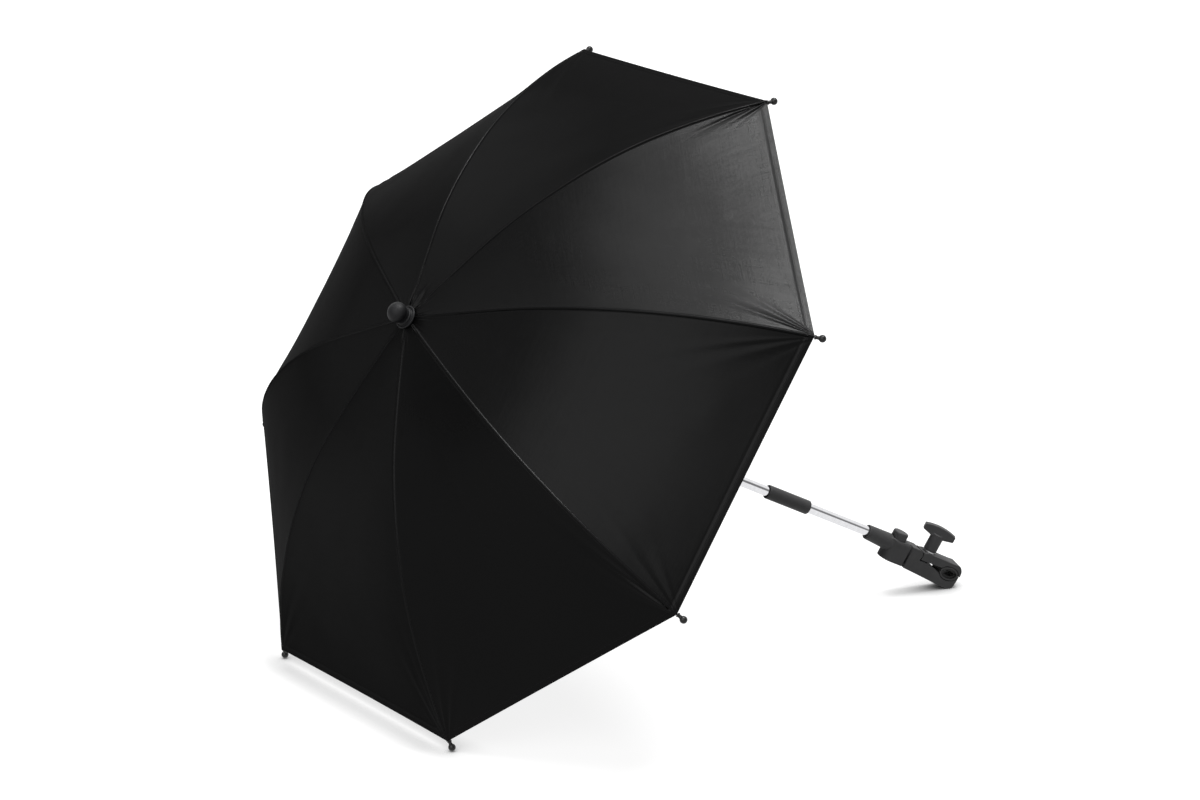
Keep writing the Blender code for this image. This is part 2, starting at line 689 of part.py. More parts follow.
def make_housing(side):
    """Socket housing that takes the pole, its push button, spring and bottom cover."""
    middle = (HOUSING_START + HOUSING_END) / 2
    body = joined(housing_mesh(), socket_mesh())
    bore = rod(BORE, SOCKET_START - 0.01, POLE_END + POLE_CAP + 3 * GAP, 24, ALONG_X)
    well = at(BUTTON_PLACE, 0, 0)
    wide = rod(BUTTON_BODY + GAP, HOUSING_BOTTOM - 0.01, BUTTON_COLLAR + GAP, 28, well)
    mouth = rod(BUTTON_RADIUS + GAP, 0, 0.03, 28, well)
    level = at(0, 0, SWIVEL_HEIGHT)
    nook = rod(BOLT_HEAD_RADIUS + GAP, middle, bolt_seat() + BOLT_HEAD + GAP, 20, level @ ALONG_X)
    shank = rod(BOLT_RADIUS + FIT, middle, HOUSING_END + 0.01, 16, level @ ALONG_X)
    body = cut(body, bore, wide, mouth, nook, shank)
    part("socket_housing", body, "grey_plastic", side)
    make_button(side)
    cover = HOUSING_BOTTOM + SPRING_COVER
    lid = tube(BUTTON_BODY, 0.0012, HOUSING_BOTTOM + 0.0001, cover, 24, well)
    part("spring_cover", lid, "black_plastic", side)
    make_button_spring(side, cover + GAP)


def bolt_seat():
    """Where the swivel bolt's head starts, just clear of the button."""
    return BUTTON_PLACE + BUTTON_BODY + 2 * GAP


def make_button(side):
    """Round push button whose cross slot lets the pole through at both ends of its travel."""
    round_top = 0.0016
    profile = [(0, BUTTON_TOP)]
    profile += arc((BUTTON_RADIUS - round_top, BUTTON_TOP - round_top), round_top, 90, 0, 4)
    profile += [(BUTTON_RADIUS, BUTTON_COLLAR), (BUTTON_BODY, BUTTON_COLLAR)]
    profile += [(BUTTON_BODY, BUTTON_FOOT), (0, BUTTON_FOOT)]
    body = turned(profile, 28)
    outline = arc((0, BUTTON_TRAVEL), BORE, 0, 180, 11) + arc((0, 0), BORE, 180, 360, 11)
    body = cut(body, prism(outline, 0.02, ACROSS))
    part("lock_button", body, "grey_plastic", side, at(BUTTON_PLACE, 0, 0))


def make_button_spring(side, foot):
    """Coil spring between the bottom cover and the button."""
    low = foot + SPRING_WIRE
    high = BUTTON_FOOT - GAP - SPRING_WIRE
    steps = SPRING_TURNS * 10
    points = []
    for n in range(steps + 1):
        turn = 2 * math.pi * n / 10
        height = low + (high - low) * n / steps
        points.append((SPRING_RADIUS * math.cos(turn), SPRING_RADIUS * math.sin(turn), height))
    part("button_spring", wire(points, SPRING_WIRE, resolution=1), "wire", side, at(BUTTON_PLACE, 0, 0))


def make_swivel(side):
    """Bolt and washer on which the housing turns against the clamp."""
    level = at(0, 0, SWIVEL_HEIGHT) @ ALONG_X
    seat = bolt_seat()
    tip = HOUSING_END + SWIVEL_GAP + BOLT_REACH
    profile = [(0, tip), (BOLT_RADIUS, tip), (BOLT_RADIUS, seat + BOLT_HEAD)]
    profile += [(BOLT_HEAD_RADIUS, seat + BOLT_HEAD), (BOLT_HEAD_RADIUS, seat), (0, seat)]
    part("swivel_bolt", turned(profile, 20, level), "steel", side)
    low = HOUSING_END + GAP
    high = HOUSING_END + SWIVEL_GAP - GAP
    part("swivel_washer", tube(SWIVEL_WASHER, BOLT_RADIUS + GAP, low, high, 24, level), "rubber", side)


def grip_arc(start, end, count, grow=0.0):
    """Ridged half of the oval jaw opening; angles in degrees."""
    points = []
    for n in range(count):
        turn = math.radians(start + (end - start) * n / (count - 1))
        tooth = -GRIP_TOOTH if n % 2 and grow == 0 else 0.0
        points.append((
            GRIP_PLACE[0] + (GRIP_HALF[0] + grow + tooth) * math.cos(turn),
            GRIP_PLACE[1] + (GRIP_HALF[1] + grow + tooth) * math.sin(turn),
        ))
    return points


def make_clamp_body(side):
    """Lower jaw, hinge cheeks and swivel end in one casting."""
    start = HOUSING_END + SWIVEL_GAP
    hinge_x, hinge_z = HINGE_PLACE
    floor = JAW_UNDERSIDE - JAW_SLOT
    outline = [(start, CLAMP_BOTTOM + 0.0035), (SCREW_PLACE + 0.0100, CLAMP_BOTTOM + 0.0010)]
    outline += [(SCREW_PLACE + 0.0190, CLAMP_BOTTOM), (CLAMP_END - 0.0070, CLAMP_BOTTOM)]
    outline += [(CLAMP_END - 0.0018, CLAMP_BOTTOM + 0.0020), (CLAMP_END - 0.0004, CLAMP_BOTTOM + 0.0060)]
    outline += [(CLAMP_END, GRIP_PLACE[1] - JAW_SLOT / 2)]
    outline += [(GRIP_PLACE[0] + GRIP_HALF[0], GRIP_PLACE[1] - JAW_SLOT / 2)]
    outline += grip_arc(350, 190, 2 * GRIP_TEETH + 1)
    outline += [(GRIP_PLACE[0] - GRIP_HALF[0] - 0.0010, floor), (hinge_x + 0.0035, floor)]
    outline += arc(HINGE_PLACE, HINGE_BARREL, -38, 90, 9)
    outline += [(start, hinge_z + HINGE_BARREL)]
    body = prism(outline, CLAMP_HALF_WIDTH, ALONG_Y)
    room = HINGE_TONGUE + GAP
    hinge = at(hinge_x, 0, hinge_z) @ ALONG_Y
    reach = JAW_START + TONGUE_LENGTH + FIT
    recess = arc((0, 0), EYE_REACH + FIT, 90, 270, 11)
    recess += [(reach, floor - GAP - hinge_z), (reach, 0.03), (0, 0.03)]
    pocket = prism(recess, room, hinge)
    pin_hole = rod(JAW_PIN_RADIUS + PIN_FIT, -0.02, CLAMP_HALF_WIDTH - JAW_PIN_COVER, 20, hinge)
    screw = at(SCREW_PLACE, 0, 0)
    screw_hole = rod(SCREW_RADIUS + GAP, CLAMP_BOTTOM - 0.01, 0.0, 24, screw)
    nut_room = rod(NUT_RADIUS + GAP, CLAMP_BOTTOM - 0.01, NUT_FOOT + NUT_HEIGHT + GAP, 6, screw)
    level = at(0, 0, SWIVEL_HEIGHT) @ ALONG_X
    bolt = rod(BOLT_RADIUS + PIN_FIT, start - 0.01, start + BOLT_REACH + GAP, 24, level)
    body = cut(body, pocket, pin_hole, screw_hole, nut_room, bolt)
    part("clamp_body", body, "grey_plastic", side)


def make_upper_jaw(side):
    """Upper jaw with its hinge tongue, as cast, closed at rest."""
    hinge_x, hinge_z = HINGE_PLACE
    outline = arc(HINGE_PLACE, JAW_START, -33, 50, 7)
    outline += [(hinge_x + 0.0075, JAW_TOP - 0.0008), (hinge_x + 0.0110, JAW_TOP)]
    outline += [(CLAMP_END - 0.0110, JAW_TOP - 0.0006)]
    outline += arc((CLAMP_END - 0.0085, JAW_TOP - 0.0091), 0.0085, 76, 8, 6)
    outline += [(CLAMP_END, GRIP_PLACE[1] + JAW_SLOT / 2)]
    outline += [(GRIP_PLACE[0] + GRIP_HALF[0], GRIP_PLACE[1] + JAW_SLOT / 2)]
    outline += grip_arc(10, 162, 2 * GRIP_TEETH + 1)
    outline += [(GRIP_PLACE[0] - GRIP_HALF[0] - 0.0010, JAW_UNDERSIDE)]
    body = prism([(x - hinge_x, z - hinge_z) for x, z in outline], CLAMP_HALF_WIDTH, ALONG_Y)
    end = JAW_START + TONGUE_LENGTH
    outline = [(end, -0.0026), (end, 0.0026)] + arc((0, 0), EYE_REACH, 42, 318, 16)
    tongue = prism(outline, HINGE_TONGUE, ALONG_Y)
    hole = rod(JAW_PIN_RADIUS + PIN_FIT, -0.02, 0.02, 20, ALONG_Y)
    reach = SCREW_PLACE - hinge_x
    slot = SCREW_RADIUS + GAP
    outline = arc((reach + SLOT_AHEAD, 0), slot, -90, 90, 9)
    outline += arc((reach - SLOT_BEHIND, 0), slot, 90, 270, 9)
    body = cut(joined(body, tongue), hole, prism(outline, 0.02))
    part("upper_jaw", body, "grey_plastic", side, at(hinge_x, 0, hinge_z))
    pin = rod(JAW_PIN_RADIUS, GAP - CLAMP_HALF_WIDTH, CLAMP_HALF_WIDTH - JAW_PIN_COVER - GAP, 20, ALONG_Y)
    part("jaw_pin", pin, "steel", side, at(hinge_x, 0, hinge_z))


def make_screw(side):
    """Clamp screw, its captive nut, thrust washer and winged knob."""
    foot = JAW_TOP + GAP + THRUST_THICKNESS + GAP
    place = at(SCREW_PLACE, 0, 0)
    screw_top = foot + STEM_LENGTH - 0.002
    part("clamp_screw", rod(SCREW_RADIUS, SCREW_FOOT, screw_top, 24), "steel", side, place)
    hole = rod(SCREW_RADIUS + PIN_FIT, NUT_FOOT - 0.01, 0, 24)
    nut = cut(rod(NUT_RADIUS, NUT_FOOT, NUT_FOOT + NUT_HEIGHT, 6), hole)
    part("clamp_nut", nut, "steel", side, place)
    low = JAW_TOP + GAP
    washer = tube(THRUST_WASHER, SCREW_RADIUS + GAP, low, low + THRUST_THICKNESS, 28)
    part("thrust_washer", washer, "steel", side, place)
    stem = rod(STEM_RADIUS, foot, foot + STEM_LENGTH + 0.003, 32)
    base = foot + STEM_LENGTH
    half = WING_LENGTH / 2
    low_end = base + (WING_HEIGHT - WING_END) / 2
    outline = [(-half, low_end), (-STEM_RADIUS, base), (STEM_RADIUS, base), (half, low_end)]
    outline += [(half, low_end + WING_END)]
    for n in range(1, 8):
        share = 1 - 2 * n / 8
        crown = (WING_HEIGHT - WING_END) / 2 * (1 - share * share)
        outline.append((half * share, low_end + WING_END + crown))
    outline += [(-half, low_end + WING_END)]
    wing = prism(outline, WING_THICKNESS / 2, ALONG_Y, edge=0.0010)
    well = rod(SCREW_RADIUS + GAP, foot - 0.01, screw_top + GAP, 24)
    body = moved(cut(joined(stem, wing), well), Matrix.Rotation(WING_TURN, 4, "Z"))
    part("clamp_knob", body, "grey_plastic", side, place)


def pole_matrix():
    """Frame of the lower pole in the canopy's: X down the pole, Y along the knuckle pin."""
    down = Vector((0, 0, -1))
    aside = Vector((math.cos(BEND_SIDE), math.sin(BEND_SIDE), 0))
    along = down * math.cos(BEND) + aside * math.sin(BEND)
    pin = down.cross(along).normalized()
    turn = Matrix((along, pin, along.cross(pin))).transposed().to_4x4()
    return at(0, 0, KNUCKLE_HEIGHT) @ turn


def stance_matrix():
    """Turn that stands the parasol on its two lowest tip balls and the clamp's lower edge."""
    half_step = math.pi / RIB_COUNT
    ball = Vector((-OPEN_RADIUS * math.cos(half_step), 0, 0))
    side = pole_matrix() @ Matrix.Rotation(CLAMP_ROLL, 4, "X")
    lean = []
    for along, height in ((CLAMP_END - 0.0070, 0), (CLAMP_END - 0.0018, 0.0020)):
        for across in (-CLAMP_HALF_WIDTH, CLAMP_HALF_WIDTH):
            corner = side @ Vector((along, across, CLAMP_BOTTOM + height)) - ball
            reach = math.hypot(corner.x, corner.z)
            lean.append(math.atan2(corner.z, corner.x) + math.acos(-BALL_RADIUS / reach))
    rise = min(lean)
    up = Vector((math.cos(rise), 0, math.sin(rise)))
    across = Vector((0, 1, 0))
    return Matrix((across.cross(up), across, up)).to_4x4()


def centre_on_floor(stance):
    """Shift the whole part so that its box stands centred on the origin."""
    bpy.context.view_layer.update()
    graph = bpy.context.evaluated_depsgraph_get()
    low, high = Vector((9, 9, 9)), Vector((-9, -9, -9))
    for thing in collection(NAME).objects:
        if thing.type != "MESH":
            continue
        seen = thing.evaluated_get(graph)
        for vert in seen.data.vertices:
            place = seen.matrix_world @ vert.co
            low = Vector(map(min, low, place))
            high = Vector(map(max, high, place))
    middle = (low + high) / 2
    stance.matrix_world = at(-middle.x, -middle.y, -low.z) @ stance.matrix_world
    bpy.context.view_layer.update()


def main():
    """Build every part in its frame, then stand the parasol on the floor."""
    clear_scene()
    collection(NAME)
    collection("cutters")
    stance = frame("stance", stance_matrix())
    canopy = frame("canopy_frame", Matrix(), stance)
    bent = frame("pole_frame", pole_matrix(), canopy)
    side = frame("clamp_frame", Matrix.Rotation(CLAMP_ROLL, 4, "X"), bent)
    make_canopy(canopy)
    make_runner(canopy)
    make_upper_pole(canopy)
    make_knuckle(canopy, bent)
    make_lower_pole(bent)
    make_housing(side)
    make_swivel(side)
    make_clamp_body(side)
    make_upper_jaw(side)
    make_screw(side)
    centre_on_floor(stance)


main()
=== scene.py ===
"""Looks of the stroller parasol: cloth, wire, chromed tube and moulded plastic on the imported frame."""

import json
import math

import bmesh
import bpy
import numpy as np
from bpy.props import FloatProperty, FloatVectorProperty, IntProperty, PointerProperty
from mathutils import Matrix, Vector, noise


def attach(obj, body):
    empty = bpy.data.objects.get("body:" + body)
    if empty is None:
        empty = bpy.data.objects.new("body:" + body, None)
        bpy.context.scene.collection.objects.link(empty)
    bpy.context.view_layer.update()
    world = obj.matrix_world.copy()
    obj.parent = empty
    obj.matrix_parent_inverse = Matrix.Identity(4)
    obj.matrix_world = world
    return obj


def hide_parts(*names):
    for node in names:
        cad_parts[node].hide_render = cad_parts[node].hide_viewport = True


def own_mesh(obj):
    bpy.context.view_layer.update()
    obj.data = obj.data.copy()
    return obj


bl_info = {
    "name": "Stroller Parasol",
    "version": (1, 0, 0),
    "blender": (4, 5, 0),
    "location": "View3D > Sidebar > Parasol",
    "description": "Dresses the packed stroller parasol with cloth, wire, chrome and moulded plastic",
    "category": "Object",
}

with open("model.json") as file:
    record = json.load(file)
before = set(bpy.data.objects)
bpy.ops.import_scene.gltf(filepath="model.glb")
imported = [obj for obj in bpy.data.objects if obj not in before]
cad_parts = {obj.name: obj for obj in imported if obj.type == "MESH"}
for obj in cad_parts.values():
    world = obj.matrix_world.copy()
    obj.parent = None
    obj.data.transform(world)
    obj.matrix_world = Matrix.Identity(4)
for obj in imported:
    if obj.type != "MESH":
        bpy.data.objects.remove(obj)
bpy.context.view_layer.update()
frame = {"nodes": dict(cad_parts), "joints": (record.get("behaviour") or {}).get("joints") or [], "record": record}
NODES = frame["nodes"]
JOINTS = {joint["name"]: joint for joint in frame["joints"]}
RIB_COUNT = sum(1 for name in NODES if name.startswith("rib_") and name[4:].isdigit())
BODY_OF = {node: body for body, names in frame["record"]["behaviour"]["bodies"].items() for node in names}

# cloth and ribs, the same driving sizes as the solids
OPEN_RADIUS = 0.350
ROOT_SLOPE = math.radians(6.1)
KNEE_SLOPE = math.radians(9.2)
TIP_SLOPE = math.radians(47.2)
KNEE_RADIUS = 0.094
RIB_RADIUS = 0.0011
RIB_ROOT_LENGTH = 0.0075
RING_RADIUS = 0.0085
NECK_LENGTH = 0.0070
BALL_RADIUS = 0.0034
POLE_RADIUS = 0.0050
POLE_WALL = 0.0008
GAP = 0.0003
CLOTH = 0.0006
HEM_SAG = 0.10
RING_DROP = 0.0012

# points along a rib's line, and the distance within which points of a mesh are one
STATION_COUNT = 1401
WELD = 1e-6

# the photographed view, in the canopy's own frame
CAMERA_PLACE = Vector((-0.20182, -2.34537, 2.01851))
CAMERA_RIGHT = Vector((0.44534, -0.62241, -0.64365))
CAMERA_UP = Vector((0.89254, 0.25145, 0.37440))
CAMERA_LENS = 100.7
CAMERA_SENSOR = 36.0


def rib_azimuth(number):
    """Angle of a rib round the canopy axis, counted from the high side."""
    return math.pi / RIB_COUNT - (number - 1) * 2 * math.pi / RIB_COUNT


def canopy_matrix():
    """Frame of the canopy: Z up through the ferrule, X to the high side, origin in the tips' circle."""
    up = -Vector(JOINTS["runner_slide"]["axis"])
    pivots = [Vector(JOINTS[f"rib_{n}_fold"]["pos_m"]) for n in range(1, RIB_COUNT + 1)]
    crown = sum(pivots, Vector()) / RIB_COUNT
    high = ((pivots[0] + pivots[1]) / 2 - crown).normalized()
    turn = Matrix((high, up.cross(high), up)).transposed().to_4x4()
    return Matrix.Translation(crown) @ turn @ Matrix.Translation((0, 0, RING_DROP - rib_height(RING_RADIUS)))


def clamp_matrix():
    """Frame of the clamp: X down the lower pole from the knuckle pin, Z along the clamp screw."""
    along = -Vector(JOINTS["pole_slide"]["axis"])
    up = Vector(JOINTS["knob_turn"]["axis"])
    turn = Matrix((along, up.cross(along), up)).transposed().to_4x4()
    return Matrix.Translation(Vector(JOINTS["knuckle_tilt"]["pos_m"])) @ turn


def rib_slope(radius):
    """Fall of the rib's line at a radius: nearly straight to the knee, then evenly curved."""
    inner = ROOT_SLOPE + (KNEE_SLOPE - ROOT_SLOPE) * radius / KNEE_RADIUS
    outer = KNEE_SLOPE + (TIP_SLOPE - KNEE_SLOPE) * (radius - KNEE_RADIUS) / (OPEN_RADIUS - KNEE_RADIUS)
    return np.where(radius < KNEE_RADIUS, inner, outer)


RIB_STATIONS = np.linspace(0, OPEN_RADIUS, STATION_COUNT)
RIB_FALLS = np.tan(rib_slope(RIB_STATIONS))
RIB_DROPS = np.concatenate(([0], np.cumsum((RIB_FALLS[1:] + RIB_FALLS[:-1]) / 2 * RIB_STATIONS[1])))


def rib_height(radius):
    """Height of the rib's centre line over the circle of tip balls."""
    return RIB_DROPS[-1] - np.interp(radius, RIB_STATIONS, RIB_DROPS)


CANOPY = canopy_matrix()
CLAMP = clamp_matrix()


def colour_property(name, description, shade):
    """Colour that a user can change."""
    return FloatVectorProperty(name=name, description=description, subtype="COLOR", size=3, default=shade,
                               min=0, max=1)


def length_property(name, description, size):
    """Length that a user can change."""
    return FloatProperty(name=name, description=description, unit="LENGTH", default=size)


class ClothSettings(bpy.types.PropertyGroup):
    """Sizes and colours of the cloth."""

    colour: colour_property("Cloth colour", "Colour of the woven cloth", (0.0014, 0.0014, 0.0015))
    thickness: length_property("Thickness", "Thickness of the cloth", 0.0005)
    sag: FloatProperty(name="Sag", description="Depth of a panel's hollow as a share of its width",
                       default=0.028)
    hem: length_property("Hem", "Width of the folded hem", 0.0048)
    seam: length_property("Seam", "Width of the felled seam over a rib", 0.0020)
    stitch: length_property("Stitch", "Length of a stitch", 0.0024)
    thread: length_property("Thread", "Width of a stitch", 0.0004)
    pitch: length_property("Weave", "Distance from thread to thread", 0.0004)
    rows: IntProperty(name="Rows", description="Mesh rows from the crown to the hem", default=112)
    columns: IntProperty(name="Columns", description="Mesh columns on each side of a rib", default=52)


class FrameSettings(bpy.types.PropertyGroup):
    """Colours of the metal and plastic pieces."""

    plastic: colour_property("Plastic colour", "Colour of the clamp and sleeve", (0.046, 0.046, 0.047))
    black: colour_property("Black plastic colour", "Colour of tips, crown and runner", (0.010, 0.010, 0.010))
    rubber: colour_property("Ferrule colour", "Colour of the ferrule and its washer", (0.010, 0.010, 0.011))
    chrome: colour_property("Chrome colour", "Colour of the plated pole", (0.80, 0.80, 0.82))
    wire: colour_property("Wire colour", "Colour of the ribs and stretchers", (0.20, 0.20, 0.21))
    steel: colour_property("Screw colour", "Colour of the zinc plated screws and pins", (0.55, 0.55, 0.56))


class StageSettings(bpy.types.PropertyGroup):
    """Light and floor."""

    key: FloatProperty(name="Key light", description="Strength of the lamp that gives the cloth its sheen",
                       default=1.7)
    spread: FloatProperty(name="Spread", description="Width of the key light", subtype="ANGLE",
                          unit="ROTATION", default=math.radians(14))
    overhead: FloatProperty(name="Overhead light", description="Strength of the wide light overhead",
                            default=1.6)
    front: FloatProperty(name="Front light", description="Strength of the soft light from the left front",
                         default=1.0)
    fill: FloatProperty(name="Fill light", description="Strength of the light from all round", default=0.16)
    floor: colour_property("Floor colour", "Colour of the floor", (0.35, 0.35, 0.35))


def put(socket, value):
    """Link a socket to another one, or set it to a plain value."""
    if isinstance(value, bpy.types.NodeSocket):
        socket.id_data.links.new(value, socket)
    else:
        socket.default_value = value


def fill(thing, **values):
    """A thing with its properties set, and a node's sockets, by capitalised names, set or linked."""
    for key, value in values.items():
        if key[0].islower():
            setattr(thing, key, value)
        else:
            put(thing.inputs[key.replace("_", " ")], value)
    return thing


def new_material(name, **values):
    """Material with its node tree and its Principled shader."""
    made = bpy.data.materials.new(name)
    made.use_nodes = True
    return made, made.node_tree, fill(made.node_tree.nodes["Principled BSDF"], **values)


def add(tree, kind, **values):
    """New node of a kind."""
    return fill(tree.nodes.new(kind), **values)


def noise_field(tree, where, scale, detail=2.0, roughness=0.5):
    """Noise of a given fineness over coordinates."""
    return add(tree, "ShaderNodeTexNoise", Vector=where, Scale=scale, Detail=detail,
               Roughness=roughness).outputs["Fac"]


def shades(tree, factor, colour, low, high):
    """The same colour between a darker and a lighter share of it."""
    ramp = add(tree, "ShaderNodeValToRGB", Fac=factor)
    for element, position, share in zip(ramp.color_ramp.elements, (0.3, 0.7), (low, high)):
        element.position = position
        element.color = (*[value * share for value in colour], 1)
    return ramp.outputs["Color"]


def between(tree, factor, low, high, start=0.0, end=1.0):
    """Value that goes from low to high as a factor goes from start to end."""
    return add(tree, "ShaderNodeMapRange", Value=factor, From_Min=start, From_Max=end, To_Min=low,
               To_Max=high).outputs["Result"]


def bump(tree, shader, height, depth, below=None):
    """Relief of a height field in metres, laid over another."""
    made = add(tree, "ShaderNodeBump", Height=height, Distance=depth, Strength=1.0)
    if below is not None:
        fill(made, Normal=below)
    fill(shader, Normal=made.outputs["Normal"])
    return made.outputs["Normal"]


def place(tree):
    """Coordinates of the piece in metres."""
    return add(tree, "ShaderNodeTexCoord").outputs["Object"]


def weave(tree, cut, pitch):
    """Plain weave over the cloth's own cut; a wave of scale 0.314 repeats once in each metre."""
    threads = []
    for direction in ("X", "Y"):
        band = add(tree, "ShaderNodeTexWave", bands_direction=direction, Vector=cut,
                   Scale=0.314 / pitch / 2, Distortion=0.4, Detail=1.0)
        threads.append(band.outputs["Fac"])
    return maths(tree, "MULTIPLY", *threads)


def maths(tree, operation, *values):
    """One sum on fields or plain numbers."""
    made = add(tree, "ShaderNodeMath", operation=operation)
    for socket, value in zip(made.inputs, values):
        put(socket, value)
    return made.outputs["Value"]


def row_of_stitches(tree, across, along, offset, settings):
    """Mask of the stitches of one seam, at an offset across it."""
    line = maths(tree, "COMPARE", across, offset, settings.thread / 2)
    beat = maths(tree, "SINE", maths(tree, "MULTIPLY", along, 2 * math.pi / settings.stitch))
    return maths(tree, "MULTIPLY", line, maths(tree, "GREATER_THAN", beat, STITCH_BEAT))


def slubs(tree, cut, along, across):
    """Uneven thickness of the threads that run one way."""
    stretch = add(tree, "ShaderNodeMapping", Vector=cut, Scale=(along, across, 1))
    return noise_field(tree, stretch.outputs["Vector"], scale=1.0, roughness=0.6)


# where the hem's stitches run as a share of its width, and the level of the sine above which one shows
HEM_STITCH = 0.80
STITCH_BEAT = -0.45
# fineness of a thread's unevenness along it and across it
SLUB = (1400, 26)
# roughness of the cloth face on and edge on, the facing at which each is reached, and its gloss
CLOTH_ROUGH = (0.25, 1.0)
CLOTH_FACING = (0.22, 0.60)
CLOTH_GLOSS = 0.085
WEAVE_DEPTH, SLUB_DEPTH, STITCH_DEPTH = 0.00003, 0.00012, 0.00018


def cloth_material():
    """Black polyester: fine weave, uneven threads, seam and hem stitches."""
    settings = bpy.context.scene.parasol_cloth
    made, tree, shader = new_material("woven_polyester", Specular_IOR_Level=CLOTH_GLOSS)
    cut = add(tree, "ShaderNodeUVMap").outputs["UV"]
    parts = add(tree, "ShaderNodeSeparateXYZ", Vector=cut)
    over, run = parts.outputs["X"], parts.outputs["Y"]
    seam = row_of_stitches(tree, over, run, settings.seam * 0.5, settings)
    edge = maths(tree, "SUBTRACT", CLOTH_END, run)
    hem = row_of_stitches(tree, edge, over, settings.hem * HEM_STITCH, settings)
    stitches = maths(tree, "MAXIMUM", seam, hem)
    grain = maths(tree, "MULTIPLY", slubs(tree, cut, *SLUB), slubs(tree, cut, *reversed(SLUB)))
    cloud = noise_field(tree, place(tree), scale=18.0, detail=3.0, roughness=0.6)
    tone = shades(tree, grain, settings.colour, low=0.55, high=1.7)
    mix = add(tree, "ShaderNodeMix", data_type="RGBA", Factor=stitches, A=tone,
              B=(*[4 * value for value in settings.colour], 1))
    facing = add(tree, "ShaderNodeLayerWeight").outputs["Facing"]
    fibres = between(tree, facing, *CLOTH_ROUGH, *CLOTH_FACING)
    uneven = maths(tree, "ADD", between(tree, cloud, -0.02, 0.03), between(tree, grain, -0.06, 0.10))
    fill(shader, Base_Color=mix.outputs["Result"], Roughness=maths(tree, "ADD", fibres, uneven))
    first = bump(tree, shader, weave(tree, cut, settings.pitch), WEAVE_DEPTH)
    second = bump(tree, shader, grain, SLUB_DEPTH, first)
    bump(tree, shader, stitches, STITCH_DEPTH, second)
    return made


def thread_material():
    """Sewing thread, a little more lustrous than the cloth."""
    settings = bpy.context.scene.parasol_cloth
    made, tree, shader = new_material("sewing_thread", Roughness=0.5, Specular_IOR_Level=0.3)
    twist = noise_field(tree, place(tree), scale=1800.0, detail=1.0)
    fill(shader, Base_Color=shades(tree, twist, settings.colour, low=1.0, high=2.2))
    bump(tree, shader, twist, 0.00005)
    return made


def moulded_material(name, colour, rough, grain, gloss=0.3):
    """Moulded plastic: fine spark texture, slight flow marks and rubbed patches."""
    made, tree, shader = new_material(name, Specular_IOR_Level=gloss)
    where = place(tree)
    flow = noise_field(tree, where, scale=60.0, detail=4.0, roughness=0.6)
    rubbed = noise_field(tree, where, scale=180.0, detail=3.0)
    fill(shader, Base_Color=shades(tree, flow, colour, low=0.85, high=1.15),
         Roughness=between(tree, rubbed, rough - 0.05, rough + 0.07))
    bump(tree, shader, noise_field(tree, where, scale=1500.0), grain)
    return made


def plated_material(name, colour, rough, scratch):
    """Plated metal with a faint drawn grain and small scuffs."""
    made, tree, shader = new_material(name, Metallic=1.0)
    where = place(tree)
    scuffs = noise_field(tree, where, scale=240.0, detail=5.0, roughness=0.7)
    fill(shader, Base_Color=shades(tree, scuffs, colour, low=0.93, high=1.04),
         Roughness=between(tree, scuffs, rough, rough + 0.08))
    bump(tree, shader, noise_field(tree, where, scale=900.0), scratch)
    return made


MATERIALS = {}


def finish_of(name):
    """Material of a finish, made once: its roughness, the depth of its grain in metres and its gloss."""
    if name not in MATERIALS:
        settings = bpy.context.scene.parasol_frame
        MATERIALS[name] = {
            "cloth": cloth_material,
            "thread": thread_material,
            "plastic": lambda: moulded_material("grained_plastic", settings.plastic, 0.56, 0.00006),
            "tip": lambda: moulded_material("polished_plastic", settings.black, 0.24, 0.00002),
            "black": lambda: moulded_material("black_plastic", settings.black, 0.30, 0.00002),
            "rubber": lambda: moulded_material("soft_rubber", settings.rubber, 0.50, 0.00006, 0.18),
            "pad": lambda: moulded_material("grip_rubber", settings.black, 0.55, 0.00008),
            "chrome": lambda: plated_material("chrome_plate", settings.chrome, 0.07, 0.000004),
            "wire": lambda: plated_material("drawn_wire", settings.wire, 0.30, 0.00002),
            "steel": lambda: plated_material("zinc_plate", settings.steel, 0.28, 0.00002),
        }[name]()
    return MATERIALS[name]


def span(name, frame_matrix):
    """Lowest and highest corner of a node, measured in a frame of its own."""
    back = frame_matrix.inverted()
    spots = np.array([back @ vert.co for vert in NODES[name].data.vertices])
    return spots.min(axis=0), spots.max(axis=0)


def piece(name, mesh, finish, body, nodes=(), smooth=35.0):
    """Finished piece in the row's frame that rides on a body and stands for its nodes."""
    made = loose(name, mesh)
    mesh.materials.clear()
    mesh.materials.append(finish_of(finish))
    mesh.shade_smooth()
    mesh.set_sharp_from_angle(angle=math.radians(smooth))
    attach(made, body)
    if nodes:
        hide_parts(*nodes)
    return made


def applied(thing):
    """Mesh of an object with its modifiers worked out; the object goes."""
    bpy.context.view_layer.update()
    seen = thing.evaluated_get(bpy.context.evaluated_depsgraph_get())
    mesh = bpy.data.meshes.new_from_object(seen)
    bpy.data.objects.remove(thing, do_unlink=True)
    return mesh


def modify(thing, kind, **values):
    """Modifier on an object, with its settings."""
    fill(thing.modifiers.new(kind.lower(), kind), **values)


def loose(name, data):
    """Object in the scene that rides on nothing yet."""
    made = bpy.data.objects.new(name, data)
    bpy.context.scene.collection.objects.link(made)
    return made


